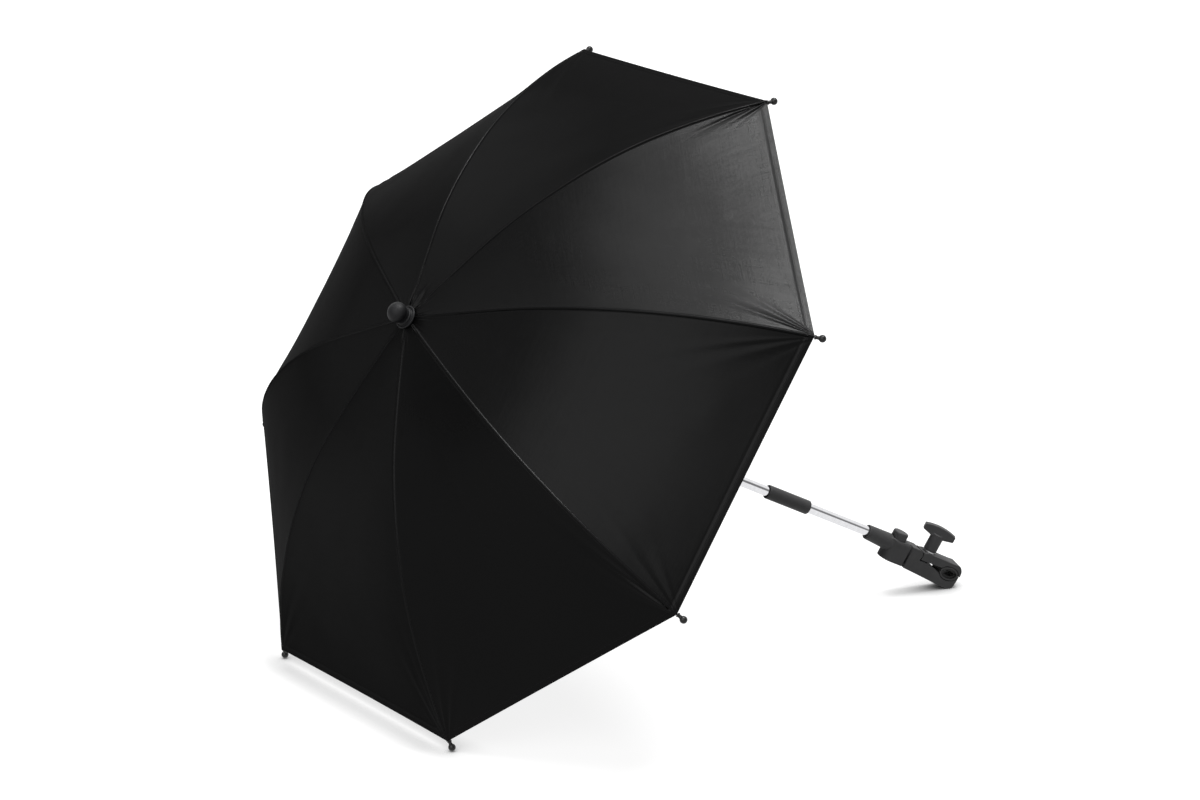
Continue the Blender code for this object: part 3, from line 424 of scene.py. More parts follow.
def turned(profile, steps=64, matrix=Matrix()):
    """Solid of revolution about Z from a profile of radii and heights."""
    mesh = bpy.data.meshes.new("profile")
    count = len(profile)
    edges = [(n, n + 1) for n in range(count - 1)]
    if profile[0][0] > 0 or profile[-1][0] > 0:
        edges.append((count - 1, 0))
    mesh.from_pydata([(radius, 0, height) for radius, height in profile], edges, [])
    thing = loose("profile", mesh)
    modify(thing, "SCREW", angle=2 * math.pi, steps=steps, render_steps=steps, use_merge_vertices=True,
           merge_threshold=WELD)
    mesh = applied(thing)
    shape = bmesh.new()
    shape.from_mesh(mesh)
    bmesh.ops.remove_doubles(shape, verts=shape.verts, dist=WELD)
    bmesh.ops.recalc_face_normals(shape, faces=shape.faces)
    shape.to_mesh(mesh)
    shape.free()
    mesh.transform(matrix)
    return mesh


def rounded(corners, radius, count=4):
    """Closed profile whose corners are rounded by a radius."""
    points = []
    total = len(corners)
    for n, corner in enumerate(corners):
        here = Vector(corner)
        before = Vector(corners[n - 1]) - here
        after = Vector(corners[(n + 1) % total]) - here
        reach = min(radius, before.length / 2.2, after.length / 2.2)
        start, end = here + before.normalized() * reach, here + after.normalized() * reach
        for step in range(count + 1):
            t = step / count
            points.append(tuple((1 - t) ** 2 * start + 2 * t * (1 - t) * here + t * t * end))
    return points


def wire(points, radius, sides=10, weights=None, matrix=Matrix()):
    """Round wire along points with capped ends."""
    data = fill(bpy.data.curves.new("wire", "CURVE"), dimensions="3D", bevel_depth=radius,
                bevel_resolution=sides // 2 - 2, use_fill_caps=True)
    line = data.splines.new("POLY")
    line.points.add(len(points) - 1)
    for n, (point, spot) in enumerate(zip(line.points, points)):
        point.co = (*spot, 1)
        point.radius = weights[n] if weights else 1.0
    mesh = applied(loose("wire", data))
    mesh.transform(matrix)
    return mesh


def finished(shape, name):
    """Mesh of a shape; the shape goes."""
    mesh = bpy.data.meshes.new(name)
    shape.to_mesh(mesh)
    shape.free()
    return mesh


def extruded(outline, low, high, matrix=Matrix()):
    """Outline in the plane of X and Z, drawn out along Y."""
    shape = bmesh.new()
    face = shape.faces.new([shape.verts.new((x, low, z)) for x, z in outline])
    grown = bmesh.ops.extrude_face_region(shape, geom=[face])["geom"]
    moved = [item for item in grown if isinstance(item, bmesh.types.BMVert)]
    bmesh.ops.translate(shape, verts=moved, vec=(0, high - low, 0))
    bmesh.ops.recalc_face_normals(shape, faces=shape.faces)
    mesh = finished(shape, "extruded")
    mesh.transform(matrix)
    return mesh


def moulded(name, voxel, passes, cutters=(), moved=None):
    """A node's shape as it leaves the mould: the clamp's own frame, every edge and corner rounded."""
    mesh = NODES[name].data.copy()
    mesh.transform(CLAMP.inverted())
    thing = loose(name + "_rough", mesh)
    for cutter in cutters:
        tool = loose("cutter", cutter)
        modify(thing, "BOOLEAN", operation="DIFFERENCE", solver="EXACT", object=tool)
        mesh = applied(thing)
        bpy.data.objects.remove(tool, do_unlink=True)
        thing = loose(name + "_rough", mesh)
    modify(thing, "REMESH", mode="VOXEL", voxel_size=voxel)
    modify(thing, "SMOOTH", factor=0.5, iterations=passes)
    mesh = applied(thing)
    if moved:
        moved(mesh)
    mesh.transform(CLAMP)
    return mesh


def coil(radius, rise, turns, count):
    """Points along a coil: two places across it and its height."""
    bearings = [2 * math.pi * turns * n / count for n in range(count + 1)]
    return [(radius * math.cos(bearing), radius * math.sin(bearing), rise * n / count)
            for n, bearing in enumerate(bearings)]


def merged(meshes):
    """One mesh of several."""
    shape = bmesh.new()
    for mesh in meshes:
        shape.from_mesh(mesh)
        bpy.data.meshes.remove(mesh)
    return finished(shape, "merged")


def steps_from(total, first, growth, count):
    """Places that start finely spaced, widen evenly and then stay equally far apart."""
    raw = first * growth ** np.arange(count)
    low, high = 0.0, total
    for _ in range(40):
        widest = (low + high) / 2
        low, high = (low, widest) if np.minimum(raw, widest).sum() > total else (widest, high)
    places = np.concatenate(([0], np.cumsum(np.minimum(raw, widest))))
    return places / places[-1]


CLOTH_END = OPEN_RADIUS - (NECK_LENGTH + GAP) * math.cos(TIP_SLOPE)
# first steps of the mesh from the hem and from the rib, and how much each next step is wider
ROW_STEP, COLUMN_STEP, STEP_GROWTH = 0.0004, 0.0003, 1.08


def cloth_grid(settings):
    """Outside of the cloth over a rib as a grid of points in the canopy's frame, with its cut."""
    share = 2 * math.pi / RIB_COUNT
    cover = RIB_RADIUS + GAP + CLOTH
    start = POLE_RADIUS + GAP + CLOTH
    down = 1 - steps_from(CLOTH_END - start, ROW_STEP, STEP_GROWTH, settings.rows)[::-1]
    run = (start + (CLOTH_END - start) * down)[:, None]
    slope = rib_slope(run)
    radius = run + cover * np.sin(slope)
    height = rib_height(run) + cover * np.cos(slope)
    chord = 2 * radius * math.sin(share / 2)
    halves = chord[:, 0] / 2
    wide = np.stack([steps_from(half, COLUMN_STEP, STEP_GROWTH, settings.columns) for half in halves])
    across = np.concatenate([-wide[:, :0:-1], wide], axis=1)
    wide = np.abs(across)
    side = np.where(across >= 0, 1.0, -1.0)
    blend = wide * 0.5
    x = radius + blend * radius * (math.cos(share) - 1)
    y = blend * side * radius * math.sin(share)
    sag = settings.sag * chord * 4 * blend * (1 - blend) * (1 - (1 - HEM_SAG) * down[:, None] ** 5)
    inward = Vector((-math.cos(share / 2), math.sin(share / 2), -0.6)).normalized()
    points = np.stack([x + sag * inward.x, y - side * sag * abs(inward.y), height + sag * inward.z], axis=-1)
    return points, run + 0 * across, across


def grid_normals(points):
    """Outward unit normals of a grid of points."""
    along = np.gradient(points, axis=0)
    over = np.gradient(points, axis=1)
    normal = np.cross(along, over)
    normal /= np.linalg.norm(normal, axis=-1, keepdims=True) + 1e-12
    return normal * np.sign(normal[..., 2:3].sum())


def soft_step(value, low, high):
    """Smooth rise from 0 at low to 1 at high."""
    t = np.clip((value - low) / (high - low), 0, 1)
    return t * t * (3 - 2 * t)


# folds at a tip by rib and side: bearing from the rib, its width, share of the depth, and reach in metres
PULLS = {
    (2, -1): ((0.24, 0.045, -1.5, 0.02), (0.36, 0.06, 0.9, 0.022), (0.6, 0.055, -0.8, 0.01)),
    (2, 1): ((0.2, 0.08, -1.0, 0.03), (0.5, 0.09, 0.8, 0.02), (0.86, 0.08, -0.5, 0.014)),
    (3, 1): ((0.36, 0.06, 1.2, 0.026), (0.52, 0.05, -0.8, 0.02), (0.68, 0.06, 0.9, 0.018)),
    (3, -1): ((0.3, 0.06, 1.1, 0.036), (0.44, 0.045, -0.8, 0.03), (0.58, 0.065, 1.2, 0.034),
              (0.8, 0.07, -0.6, 0.02)),
    (4, 1): ((0.32, 0.06, 0.9, 0.028), (0.5, 0.06, -0.6, 0.022), (0.7, 0.07, 0.7, 0.018)),
    (4, -1): ((0.17, 0.05, -1.3, 0.03), (0.32, 0.06, 0.8, 0.026), (0.56, 0.07, -0.5, 0.018)),
}
USUAL_PULLS = ((0.28, 0.06, 0.8, 0.026), (0.46, 0.06, -0.7, 0.022), (0.66, 0.07, 0.8, 0.02),
               (0.92, 0.08, -0.4, 0.014))
# where the pulls start beyond the hem, and their depth
PULL_START, PULL_DEPTH = 0.003, 0.00075
# heights and depths of the sewing, with places and widths along a rib
SEAM_RISE, SEAM_ROUND, SEAM_GROOVE = 0.00048, 0.00016, 0.00042
HEM_RISE, HEM_DENT, HEM_GROOVE = 0.00032, 0.00015, 0.00020
GATHER_DEPTH, GATHER_PLACE, GATHER_WIDTH = 0.00065, 0.013, 0.014
FOLD_DEPTH, FOLD_PLACE, FOLD_REACH, FOLD_WIDTH, FOLD_DIP = 0.0014, 0.021, 0.012, 0.0013, 0.0031
KNEE_DEPTH, KNEE_PLACE, KNEE_WIDTH = 0.00035, 0.107, 0.0022
# fineness and depth of the slack in the stretched cloth, and how it sets in from the crown and the hem
SLACK = ((11.0, 0.0010), (30.0, 0.00022))
SLACK_CROWN, SLACK_HEM = (0.012, 0.05), (0.0, 0.04)


def ridge(distance, width):
    """Rounded ridge of height 1."""
    return np.exp(-(distance / width) ** 2)


def corner_pulls(number, over, edge, window):
    """Folds that fan out from the corner at the tip."""
    relief = 0 * over
    distance = np.sqrt((edge + PULL_START) ** 2 + over ** 2)
    bearing = np.arctan2(np.abs(over), edge + PULL_START)
    for side in (1, -1):
        near = np.where(over * side > 0, 1.0, 0.0)
        vary = 0.8 + 0.25 * math.sin(2.3 * number + 1.7 * side)
        for turn, width, depth, reach in PULLS.get((number, side), USUAL_PULLS):
            fold = ridge(bearing - turn - 0.04 * math.sin(number * turn * 9), width)
            fade = distance / reach * np.exp(1 - distance / reach)
            relief += near * PULL_DEPTH * vary * depth * fold * fade * window
    return relief


def cloth_relief(settings, number, points, run, across):
    """How far the cloth stands proud: seam over the rib, hem, pulls from the tip and gathers at the crown."""
    over = points[..., 1]
    edge = CLOTH_END - run
    half = settings.seam / 2
    flat = 1 - soft_step(np.abs(over), half - 0.0002, half + 0.0004)
    relief = SEAM_RISE * flat + SEAM_ROUND * ridge(over, half)
    relief -= SEAM_GROOVE * ridge(over + half + 0.0007, 0.00045)
    hem = 1 - soft_step(edge, settings.hem - 0.0005, settings.hem + 0.0002)
    relief += HEM_RISE * hem * (1 - 0.5 * flat) - HEM_DENT * ridge(edge - settings.hem * HEM_STITCH, 0.0005)
    relief -= HEM_GROOVE * ridge(edge - settings.hem - 0.0006, 0.0005)
    window = (1 - np.abs(across)) ** 2
    relief += corner_pulls(number, over, edge, window)
    crown = ridge(run - GATHER_PLACE, GATHER_WIDTH) * (1.6 if number in (1, 2) else 0.8)
    relief += GATHER_DEPTH * crown * np.cos(np.abs(across) * math.pi * 5 + number) * window
    if number in (1, 2):
        middle = (1 - np.abs(across)) * run * math.sin(math.pi / RIB_COUNT)
        fold = ridge(middle, FOLD_WIDTH) - 0.7 * ridge(middle - FOLD_DIP, FOLD_WIDTH)
        near = np.where(over < 0 if number == 1 else over > 0, 1.0, 0.0)
        relief += near * FOLD_DEPTH * fold * ridge(run - FOLD_PLACE, FOLD_REACH)
    aside = np.abs(over)
    knee = ridge(run - KNEE_PLACE - 0.25 * aside, KNEE_WIDTH) * ridge(aside - 0.004, 0.005)
    relief -= KNEE_DEPTH * knee * (1 - flat)
    return relief


def slack(points, turn):
    """Slight unevenness of the stretched cloth, the same on both sides of a panel's middle."""
    cos, sin = math.cos(turn), math.sin(turn)
    out = np.zeros(points.shape[:2])
    for row in range(points.shape[0]):
        for column in range(points.shape[1]):
            x, y, z = points[row, column]
            spot = Vector((x * cos - y * sin, x * sin + y * cos, z))
            out[row, column] = sum(noise.noise(spot * fineness) * depth for fineness, depth in SLACK)
    return out


def grid_mesh(points, cut):
    """Mesh of a grid of points with its cut as coordinates."""
    rows, columns = points.shape[:2]
    shape = bmesh.new()
    layer = shape.loops.layers.uv.new("cut")
    verts = [shape.verts.new(spot) for spot in points.reshape(-1, 3)]
    flat = cut.reshape(-1, 2)
    for row in range(rows - 1):
        for column in range(columns - 1):
            corner = row * columns + column
            ring = (corner, corner + columns, corner + columns + 1, corner + 1)
            face = shape.faces.new([verts[n] for n in ring])
            for loop, n in zip(face.loops, ring):
                loop[layer].uv = flat[n]
    shape.normal_update()
    if sum(face.normal.z * face.calc_area() for face in shape.faces) < 0:
        bmesh.ops.reverse_faces(shape, faces=shape.faces)
    return finished(shape, "cloth")


class PARASOL_OT_cloth(bpy.types.Operator):
    """Sew the canopy: eight panels over the ribs with seams, hem and the pulls at the tips"""

    bl_idname = "parasol.cloth"
    bl_label = "Canopy cloth"

    def execute(self, context):
        settings = context.scene.parasol_cloth
        for number in range(1, RIB_COUNT + 1):
            self.sew(settings, number)
        return {"FINISHED"}

    def sew(self, settings, number):
        """Cloth over one rib, to the middle of the panel on each side, that rides the rib as the canopy closes."""
        turn = rib_azimuth(number)
        points, run, across = cloth_grid(settings)
        normals = grid_normals(points)
        fade = soft_step(run, *SLACK_CROWN) * soft_step(CLOTH_END - run, *SLACK_HEM)
        relief = cloth_relief(settings, number, points, run, across) + slack(points, turn) * fade
        points = points + normals * relief[..., None]
        cut = np.stack([points[..., 1], run], axis=-1)
        mesh = grid_mesh(points, cut)
        thing = loose("cloth", mesh)
        modify(thing, "SOLIDIFY", thickness=settings.thickness, offset=-1)
        mesh = applied(thing)
        mesh.transform(CANOPY @ Matrix.Rotation(turn, 4, "Z"))
        made = piece(f"canopy_panel_{number}", mesh, "cloth", f"rib_{number}",
                     [f"canopy_gore_{number}"], smooth=50)
        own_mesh(made)


# places of the ties on a rib, their turns, length and radius, and the radius of their thread
TIE_RADII = (0.135, 0.205, 0.275)
TIE_TURNS, TIE_LENGTH, TIE_RADIUS, TIE_THREAD = 4, 0.0016, 0.00128, 0.00018
# radii and half height of a rib's eye, and the shares of its radius to which the wire thins there
EYE_BORE, EYE_RIM, EYE_HALF, EYE_THINS = 0.0009, 0.0018, 0.0008, [0.65, 0.7]
# where a rib's wire stops inside its tip, counted from the ball's middle
RIB_STOP = 0.003
# share of a half turn that the tip's ball takes before its neck, and its steps
BALL_SHARE, BALL_STEPS = 0.82, 16
# neck and collar of a tip under its ball, and its bore for the rib
TIP_NECK = [(0.0017, -0.0036), (0.0016, -0.0046), (0.0017, -0.0054), (0.0021, -0.0057), (0.0021, -0.0068),
            (0.0019, -NECK_LENGTH), (RIB_RADIUS + GAP, -NECK_LENGTH), (RIB_RADIUS + GAP, -0.0024),
            (0, -0.0024)]


class PARASOL_OT_ribs(bpy.types.Operator):
    """Draw the eight wire ribs with their eyes and the balls on their ends"""

    bl_idname = "parasol.ribs"
    bl_label = "Ribs and tips"

    def execute(self, context):
        crown = rib_height(RING_RADIUS) - RING_DROP
        for number in range(1, RIB_COUNT + 1):
            matrix = CANOPY @ Matrix.Rotation(rib_azimuth(number), 4, "Z")
            self.bend_rib(number, matrix, crown)
            self.set_tip(number, matrix)
            self.tie_rib(number, matrix)
        return {"FINISHED"}

    def tie_rib(self, number, matrix):
        """Turns of thread that hold the cloth's seam to the rib, in three places."""
        coils = []
        points = [(rise, x, y) for x, y, rise in coil(TIE_RADIUS, TIE_LENGTH, TIE_TURNS, 40)]
        for radius in TIE_RADII:
            lean = Matrix.Rotation(float(rib_slope(np.float64(radius))), 4, "Y")
            spot = Matrix.Translation((radius, 0, float(rib_height(radius))))
            coils.append(wire(points, TIE_THREAD, sides=6, matrix=matrix @ spot @ lean))
        piece(f"rib_tie_{number}", merged(coils), "thread", f"rib_{number}")

    def bend_rib(self, number, matrix, crown):
        """Tapered wire with a flattened eye on the crown's ring."""
        first = RING_RADIUS + RIB_ROOT_LENGTH
        radii = np.linspace(first + 0.003, OPEN_RADIUS - RIB_STOP * math.cos(TIP_SLOPE), 44)
        points = [(RING_RADIUS + 0.0003, 0, crown), (first - 0.001, 0, rib_height(first))]
        points += [(radius, 0, float(rib_height(radius))) for radius in radii]
        corners = [(EYE_BORE, EYE_HALF), (EYE_RIM, EYE_HALF), (EYE_RIM, -EYE_HALF), (EYE_BORE, -EYE_HALF)]
        eye = turned(rounded(corners, 0.0003), 20,
                     Matrix.Translation((RING_RADIUS, 0, crown)) @ Matrix.Rotation(math.pi / 2, 4, "X"))
        mesh = merged([wire(points, RIB_RADIUS, sides=12, weights=EYE_THINS + [1.0] * len(radii)), eye])
        mesh.transform(matrix)
        piece(f"rib_wire_{number}", mesh, "wire", f"rib_{number}", [f"rib_{number}"])

    def set_tip(self, number, matrix):
        """Moulded ball with a waisted neck and a small collar at the cloth."""
        turns = [math.pi * BALL_SHARE * n / BALL_STEPS for n in range(BALL_STEPS + 1)]
        ball = [(BALL_RADIUS * math.sin(turn), BALL_RADIUS * math.cos(turn)) for turn in turns]
        mesh = turned(ball + TIP_NECK, steps=32)
        lean = Matrix.Rotation(math.pi / 2 + TIP_SLOPE, 4, "Y")
        mesh.transform(matrix @ Matrix.Translation((OPEN_RADIUS, 0, 0)) @ lean)
        piece(f"tip_ball_{number}", mesh, "tip", f"rib_{number}", [f"rib_tip_{number}"])


# finish, width of the broken edges and names of the nodes that are shown in their own shape
CARRIED = (
    ("black", 0.0002, ("crown", "runner", "pole_end_plug", "spring_cover")),
    ("wire", 0.0, ("crown_ring", "runner_ring", "catch_wire", "knuckle_pin")),
    ("wire", 0.00015, [f"stretcher_{number}" for number in range(1, RIB_COUNT + 1)]),
    ("chrome", 0.0003, ("knuckle_fork", "knuckle_tongue")),
    ("steel", 0.0002, ("jaw_pin", "clamp_screw", "clamp_nut", "thrust_washer", "swivel_bolt")),
    ("rubber", 0.0001, ("swivel_washer",)),
)
# radius of the button spring's wire, and its turns
SPRING_WIRE, SPRING_TURNS = 0.0006, 4


def carried_over(name, finish, edge=0.0):
    """Node of the frame whose shape is right: it gets its finish and broken edges."""
    node = NODES[name]
    node.data.materials.clear()
    node.data.materials.append(finish_of(finish))
    if edge:
        modify(node, "DECIMATE", decimate_type="DISSOLVE", angle_limit=math.radians(1))
        modify(node, "BEVEL", width=edge, segments=2, limit_method="ANGLE", angle_limit=math.radians(40))


class PARASOL_OT_hardware(bpy.types.Operator):
    """Finish the crown, runner, stretchers, knuckle and pins"""

    bl_idname = "parasol.hardware"
    bl_label = "Crown, runner and knuckle"

    def execute(self, context):
        for finish, edge, names in CARRIED:
            for name in names:
                carried_over(name, finish, edge)
        self.coil_spring()
        return {"FINISHED"}

    def coil_spring(self):
        """Coil spring under the button, on the body of the spring's node."""
        low, high = span("button_spring", CLAMP)
        middle, radius = (low + high) / 2, (high[1] - low[1]) / 2 - SPRING_WIRE
        bottom, rise = low[2] + SPRING_WIRE, high[2] - low[2] - 2 * SPRING_WIRE
        turns = coil(radius, rise, SPRING_TURNS, 240)
        points = [(middle[0] + x, middle[1] + y, bottom + z) for x, y, z in turns]
        made = piece("button_coil", wire(points, SPRING_WIRE, matrix=CLAMP), "wire",
                     BODY_OF["button_spring"], ["button_spring"])
        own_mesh(made)


def turned_piece(name, node, finish, matrix, profile):
    """Turned piece in place of a node."""
    piece(name, turned(profile, 72, matrix), finish, BODY_OF[node], [node])


# radius of the ferrule's neck and height of its dome, as shares of the dome's radius
FERRULE_NECK, DOME_RISE = 0.79, 0.86


class PARASOL_OT_ferrule(bpy.types.Operator):
    """Turn the domed ferrule and the stepped washer under it"""

    bl_idname = "parasol.ferrule"
    bl_label = "Ferrule and washer"

    def execute(self, context):
        self.turn_dome()
        self.turn_washer()
        return {"FINISHED"}

    def turn_dome(self):
        """Domed ferrule with its neck and a rolled foot."""
        low, high = span("ferrule_cap", CANOPY)
        radius, top = high[0], high[2] - low[2]
        neck = radius * FERRULE_NECK
        profile = []
        for n in range(25):
            turn = n / 24 * (math.pi - math.asin(neck / radius))
            profile.append((radius * math.sin(turn), top - radius * DOME_RISE * (1 - math.cos(turn))))
        profile += [(neck, 0.0016), (neck + 0.0008, 0.0009), (neck + 0.0009, 0.0003), (neck + 0.0005, 0),
                    (0, 0)]
        turned_piece("ferrule_dome", "ferrule_cap", "rubber",
                     CANOPY @ Matrix.Translation((0, 0, low[2])), profile)

    def turn_washer(self):
        """Stepped washer that presses on the cloth."""
        low, high = span("canopy_washer", CANOPY)
        rim, thick, bore = high[0], high[2] - low[2], POLE_RADIUS + GAP
        steps = [(bore, 0), (rim - 0.0006, 0), (rim, thick * 0.5), (rim - 0.0007, thick * 0.82),
                 (rim - 0.0017, thick * 0.80), (rim - 0.0020, thick * 0.62), (rim - 0.0026, thick * 0.64),
                 (rim - 0.0030, thick), (bore, thick)]
        turned_piece("ferrule_washer", "canopy_washer", "rubber",
                     CANOPY @ Matrix.Translation((0, 0, low[2])), rounded(steps, 0.0006))


class PARASOL_OT_pole(bpy.types.Operator):
    """Draw the chromed lower tube with its rolled ends and the lock sleeve"""

    bl_idname = "parasol.pole"
    bl_label = "Pole and sleeve"

    def execute(self, context):
        carried_over("upper_pole", "chrome")
        along = CLAMP @ Matrix.Rotation(math.pi / 2, 4, "Y")
        low, high = span("lower_pole", CLAMP)
        turned_piece("lower_tube", "lower_pole", "chrome", along,
                     self.walls(low[0], high[0], POLE_RADIUS, POLE_RADIUS - POLE_WALL, brim=0.0002,
                                mouth=0.0001))
        low, high = span("lock_sleeve", CLAMP)
        turned_piece("sleeve_tube", "lock_sleeve", "plastic", along,
                     self.walls(low[0], high[0], high[2], POLE_RADIUS + GAP, brim=0.0009, mouth=0.0007))
        return {"FINISHED"}

    def walls(self, start, end, outer, inner, brim, mouth):
        """Profile of a tube whose ends are rounded outside and opened inside."""
        profile = []
        for n in range(7):
            turn = math.pi / 2 * n / 6
            profile.append((outer - brim + brim * math.sin(turn), start + brim - brim * math.cos(turn)))
        profile += [(radius, start + end - height) for radius, height in reversed(profile)]
        return profile + [(inner + mouth, end), (inner, end - 2 * mouth), (inner, start + 2 * mouth),
                          (inner + mouth, start)]


# oval opening between the jaws in the clamp's frame: middle, half sizes and where its outline closes
MOUTH_CENTRE = (0.4370, -0.0076)
MOUTH_HALF = (0.0112, 0.0074)
MOUTH_TURN = 348
# outline of the gap that leads from the clamp screw to the opening
THROAT = ((0.4100, -0.0040), (0.4100, -0.0061), (0.4170, -0.0074), (0.4234, -0.0093),
          (0.4300, -0.0118), (0.4340, -0.0080), (0.4300, -0.0040))
CUTTER_HALF = 0.02
# where the jaw's nose fills out, how far it goes out, up and down, and the heights that go up and down
NOSE_START, NOSE_END = 0.4380, 0.4470
NOSE_OUT, NOSE_UP, NOSE_DOWN = 0.0010, 0.0012, 0.0011
NOSE_ABOVE, NOSE_BELOW = (-0.001, 0.005), (-0.0046, -0.0020)
# bearings of each grip pad, half its width, width of its rims, half width, inset and places of its ridges
GRIP_ARCS = (("lower", "clamp_body", 181, 376), ("upper", "upper_jaw", 20, 177))
PAD_HALF, RIM_WIDTH, RIDGE_HALF, RIDGE_INSET = 0.0080, 0.0016, 0.0007, 3
RIDGES = (-0.0070, -0.0035, 0.0, 0.0035, 0.0070)
# depths in the opening between which the rims, the bed and the ridges lie
RIM_DEPTHS, BED_DEPTHS, RIDGE_DEPTHS = (0.0007, 0.0022), (-0.0002, 0.0018), (0.0014, 0.0046)


def mouth_wall(start, end, depth):
    """Points on the wall of the clamp's oval opening between two bearings, at a depth inside it."""
    turns = np.radians(np.linspace(start, end, 33))
    return [(MOUTH_CENTRE[0] + (MOUTH_HALF[0] - depth) * math.cos(turn),
             MOUTH_CENTRE[1] + (MOUTH_HALF[1] - depth) * math.sin(turn)) for turn in turns]


def fuller_nose(mesh):
    """Round the jaw's nose out and bring it down on the lower jaw."""
    for vert in mesh.vertices:
        far, high = vert.co.x, vert.co.z
        reach = float(soft_step(far, NOSE_START, NOSE_END))
        vert.co.x += NOSE_OUT * reach
        vert.co.z += NOSE_UP * reach * float(soft_step(high, *NOSE_ABOVE))
        vert.co.z -= NOSE_DOWN * reach * float(1 - soft_step(high, *NOSE_BELOW))


MOUTH = mouth_wall(0, MOUTH_TURN, 0)
# name and node of each moulded piece, its grid in metres, its smoothing and the outlines cut out of it
MOULDS = (
    ("housing_shell", "socket_housing", 0.00040, 5, ()),
    ("button_cap", "lock_button", 0.00030, 4, ()),
    ("clamp_shell", "clamp_body", 0.00040, 5, (THROAT, MOUTH)),
    ("jaw_shell", "upper_jaw", 0.00036, 6, (MOUTH,)),
    ("knob_wing", "clamp_knob", 0.00036, 6, ()),
)


class PARASOL_OT_clamp(bpy.types.Operator):
    """Mould the socket housing, its button, the clamp's jaws with their grip pads and the winged knob"""

    bl_idname = "parasol.clamp"
    bl_label = "Housing and clamp"

    def execute(self, context):
        for name, node, voxel, passes, cutters in MOULDS:
            tools = [extruded(outline, -CUTTER_HALF, CUTTER_HALF) for outline in cutters]
            nose = fuller_nose if name == "jaw_shell" else None
            shape = moulded(node, voxel, passes, tools, nose)
            piece(name, shape, "plastic", BODY_OF[node], [node], smooth=60)
        for side, node, start, end in GRIP_ARCS:
            self.line_grip(f"grip_pad_{side}", BODY_OF[node], start, end)
        return {"FINISHED"}

    def line_grip(self, name, body, start, end):
        """Rubber pad in one half of the opening: its two rims, its bed and the raised ridges between them."""
        rims = [self.band(start, end, *RIM_DEPTHS, low, low + RIM_WIDTH)
                for low in (-PAD_HALF - RIM_WIDTH, PAD_HALF)]
        piece(name + "_rim", merged(rims), "plastic", body, smooth=40)
        bands = [self.band(start, end, *BED_DEPTHS, -PAD_HALF, PAD_HALF)]
        for middle in RIDGES:
            low, high = middle - RIDGE_HALF, middle + RIDGE_HALF
            bands.append(self.band(start + RIDGE_INSET, end - RIDGE_INSET, *RIDGE_DEPTHS, low, high))
        piece(name, merged(bands), "pad", body, smooth=40)

    def band(self, start, end, near, far, low, high):
        """Strip along the opening's wall, between two depths from it."""
        outline = mouth_wall(start, end, near) + mouth_wall(end, start, far)
        return extruded(outline, low, high, CLAMP)


# direction of each dark corner, the degrees within which it is darkest and where it ends, and the share left
DARK_CORNERS = (((0.36, -0.86, 0.34), 12, 32, 0.22), ((-0.48, 0.87, -0.10), 24, 42, 0.05))
# directions of the lamps and widths of the two wide ones in degrees
KEY_WAY, OVERHEAD_WAY, FRONT_WAY = (0.24, -0.10, 0.965), (0.00, 0.05, 1.00), (-0.72, -0.33, 0.61)
OVERHEAD_SPREAD, FRONT_SPREAD = 40, 44
# half the floor and its drop, then its glow, the openness at which that ends and how near things close it in: the
# glow fades near things as a painted contact shadow
FLOOR_HALF, FLOOR_DROP = 20, 0.0003
FLOOR_GLOW, SHADOW_OPEN, SHADOW_REACH = 0.85, 0.25, 0.035


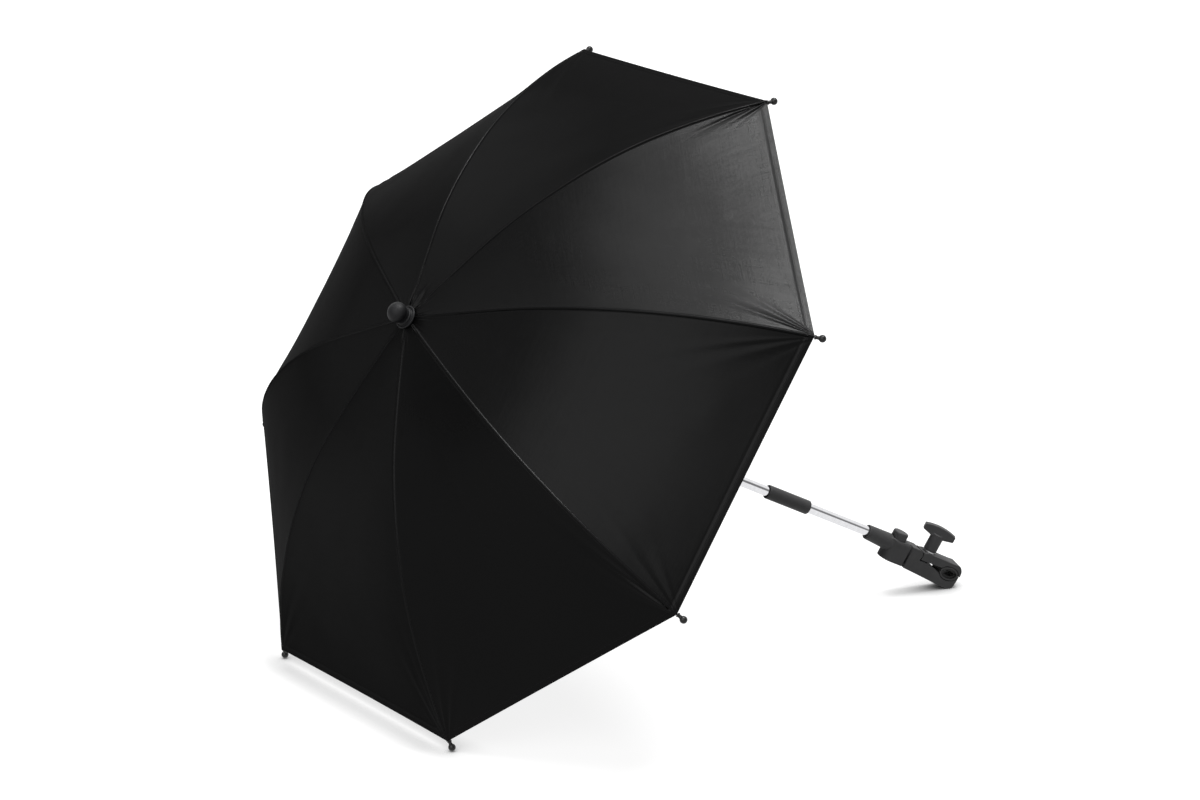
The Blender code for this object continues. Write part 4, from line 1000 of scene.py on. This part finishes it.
class PARASOL_OT_stage(bpy.types.Operator):
    """Lay the pale floor, hang the soft light and set the camera at the photographed view"""

    bl_idname = "parasol.stage"
    bl_label = "Stage"

    def execute(self, context):
        settings = context.scene.parasol_stage
        context.scene.view_settings.view_transform = "Standard"
        self.lay_floor(settings)
        self.set_world(settings)
        self.hang_light("key", settings.key, settings.spread, KEY_WAY)
        self.hang_light("overhead", settings.overhead, math.radians(OVERHEAD_SPREAD), OVERHEAD_WAY)
        self.hang_light("front", settings.front, math.radians(FRONT_SPREAD), FRONT_WAY)
        self.set_camera()
        return {"FINISHED"}

    def lay_floor(self, settings):
        """Pale floor that reads as white to the camera and keeps the lamps' shadow; near things its glow is cut as
        a painted contact shadow.
        """
        shape = bmesh.new()
        bmesh.ops.create_grid(shape, x_segments=1, y_segments=1, size=FLOOR_HALF)
        floor = loose("floor", finished(shape, "floor"))
        floor.location.z = -FLOOR_DROP
        made, tree, shader = new_material("floor", Base_Color=(*settings.floor, 1), Roughness=0.9,
                                          Specular_IOR_Level=0.0)
        # ambient occlusion dims the floor's glow near the object: painted contact shadow
        near = add(tree, "ShaderNodeAmbientOcclusion", samples=8, Distance=SHADOW_REACH)
        shade = between(tree, near.outputs["AO"], 0.0, FLOOR_GLOW, start=SHADOW_OPEN)
        glow_with_painted_shadow = add(tree, "ShaderNodeEmission", Strength=shade)
        white = add(tree, "ShaderNodeEmission")
        rays = add(tree, "ShaderNodeLightPath")
        both = add(tree, "ShaderNodeAddShader")
        put(both.inputs[0], shader.outputs["BSDF"])
        put(both.inputs[1], glow_with_painted_shadow.outputs["Emission"])
        surface = shader.outputs["BSDF"]
        for ray, seen in (("Is Glossy Ray", white.outputs[0]), ("Is Camera Ray", both.outputs[0])):
            choice = add(tree, "ShaderNodeMixShader", Fac=rays.outputs[ray])
            put(choice.inputs[1], surface)
            put(choice.inputs[2], seen)
            surface = choice.outputs["Shader"]
        fill(tree.nodes["Material Output"], Surface=surface)
        floor.data.materials.append(made)

    def set_world(self, settings):
        """White to the camera, white with two dark corners in reflections, a dim even light otherwise."""
        world = bpy.data.worlds.new("studio")
        world.use_nodes = True
        bpy.context.scene.world = world
        tree = world.node_tree
        rays = add(tree, "ShaderNodeLightPath").outputs
        room = 1.0
        for corner in DARK_CORNERS:
            room = maths(tree, "MULTIPLY", room, self.dark_corner(tree, *corner))
        glossy = maths(tree, "MULTIPLY", rays["Is Glossy Ray"], room)
        seen = maths(tree, "MAXIMUM", rays["Is Camera Ray"], rays["Is Transmission Ray"])
        other = maths(tree, "SUBTRACT", 1.0, maths(tree, "MAXIMUM", seen, rays["Is Glossy Ray"]))
        shown = maths(tree, "MAXIMUM", seen, glossy)
        level = maths(tree, "ADD", shown, maths(tree, "MULTIPLY", other, settings.fill))
        fill(tree.nodes["Background"], Color=(1, 1, 1, 1), Strength=level)

    def dark_corner(self, tree, way, inner, outer, left):
        """Share of white that is left in a dark corner of the studio and round it."""
        towards = add(tree, "ShaderNodeVectorMath", operation="DOT_PRODUCT")
        put(towards.inputs[0], add(tree, "ShaderNodeTexCoord").outputs["Generated"])
        put(towards.inputs[1], Vector(way).normalized())
        share = between(tree, towards.outputs["Value"], 1.0, left,
                        math.cos(math.radians(outer)), math.cos(math.radians(inner)))
        share.node.interpolation_type = "SMOOTHSTEP"
        return share

    def hang_light(self, name, strength, spread, way):
        """Soft light from far off."""
        lamp = loose(name, fill(bpy.data.lights.new(name, "SUN"), energy=strength, angle=spread))
        lamp.rotation_euler = Vector(way).to_track_quat("Z", "Y").to_euler()

    def set_camera(self):
        """Camera at the photographed angle."""
        camera = loose("camera", fill(bpy.data.cameras.new("camera"), lens=CAMERA_LENS,
                                      sensor_width=CAMERA_SENSOR, clip_start=0.05))
        back = CAMERA_RIGHT.cross(CAMERA_UP)
        turn = Matrix((CAMERA_RIGHT, CAMERA_UP, back)).transposed().to_4x4()
        camera.matrix_world = CANOPY @ Matrix.Translation(CAMERA_PLACE) @ turn
        bpy.context.scene.camera = camera


class PARASOL_PT_panel(bpy.types.Panel):
    """Lists the pieces and their settings"""

    bl_idname = "PARASOL_PT_panel"
    bl_label = "Stroller Parasol"
    bl_space_type = "VIEW_3D"
    bl_region_type = "UI"
    bl_category = "Parasol"

    def draw(self, context):
        """Settings first, then one button for each operator."""
        for group in ("parasol_cloth", "parasol_frame", "parasol_stage"):
            box = self.layout.box()
            settings = getattr(context.scene, group)
            for name in settings.__annotations__:
                box.prop(settings, name)
        for operator in OPERATORS:
            self.layout.operator(operator.bl_idname)


SETTINGS = {"parasol_cloth": ClothSettings, "parasol_frame": FrameSettings, "parasol_stage": StageSettings}
OPERATORS = (
    PARASOL_OT_cloth, PARASOL_OT_ribs, PARASOL_OT_hardware, PARASOL_OT_ferrule, PARASOL_OT_pole,
    PARASOL_OT_clamp, PARASOL_OT_stage,
)


def register():
    """Register the settings, the operators and the panel."""
    for name, group in SETTINGS.items():
        bpy.utils.register_class(group)
        setattr(bpy.types.Scene, name, PointerProperty(type=group))
    for kind in (*OPERATORS, PARASOL_PT_panel):
        bpy.utils.register_class(kind)


def unregister():
    """Take the panel, the operators and the settings away."""
    for kind in (PARASOL_PT_panel, *reversed(OPERATORS)):
        bpy.utils.unregister_class(kind)
    for name, group in SETTINGS.items():
        delattr(bpy.types.Scene, name)
        bpy.utils.unregister_class(group)


def main():
    """Dress every piece in order."""
    register()
    bpy.ops.parasol.cloth()
    bpy.ops.parasol.ribs()
    bpy.ops.parasol.hardware()
    bpy.ops.parasol.ferrule()
    bpy.ops.parasol.pole()
    bpy.ops.parasol.clamp()
    bpy.ops.parasol.stage()


if __name__ == "__main__":
    main()
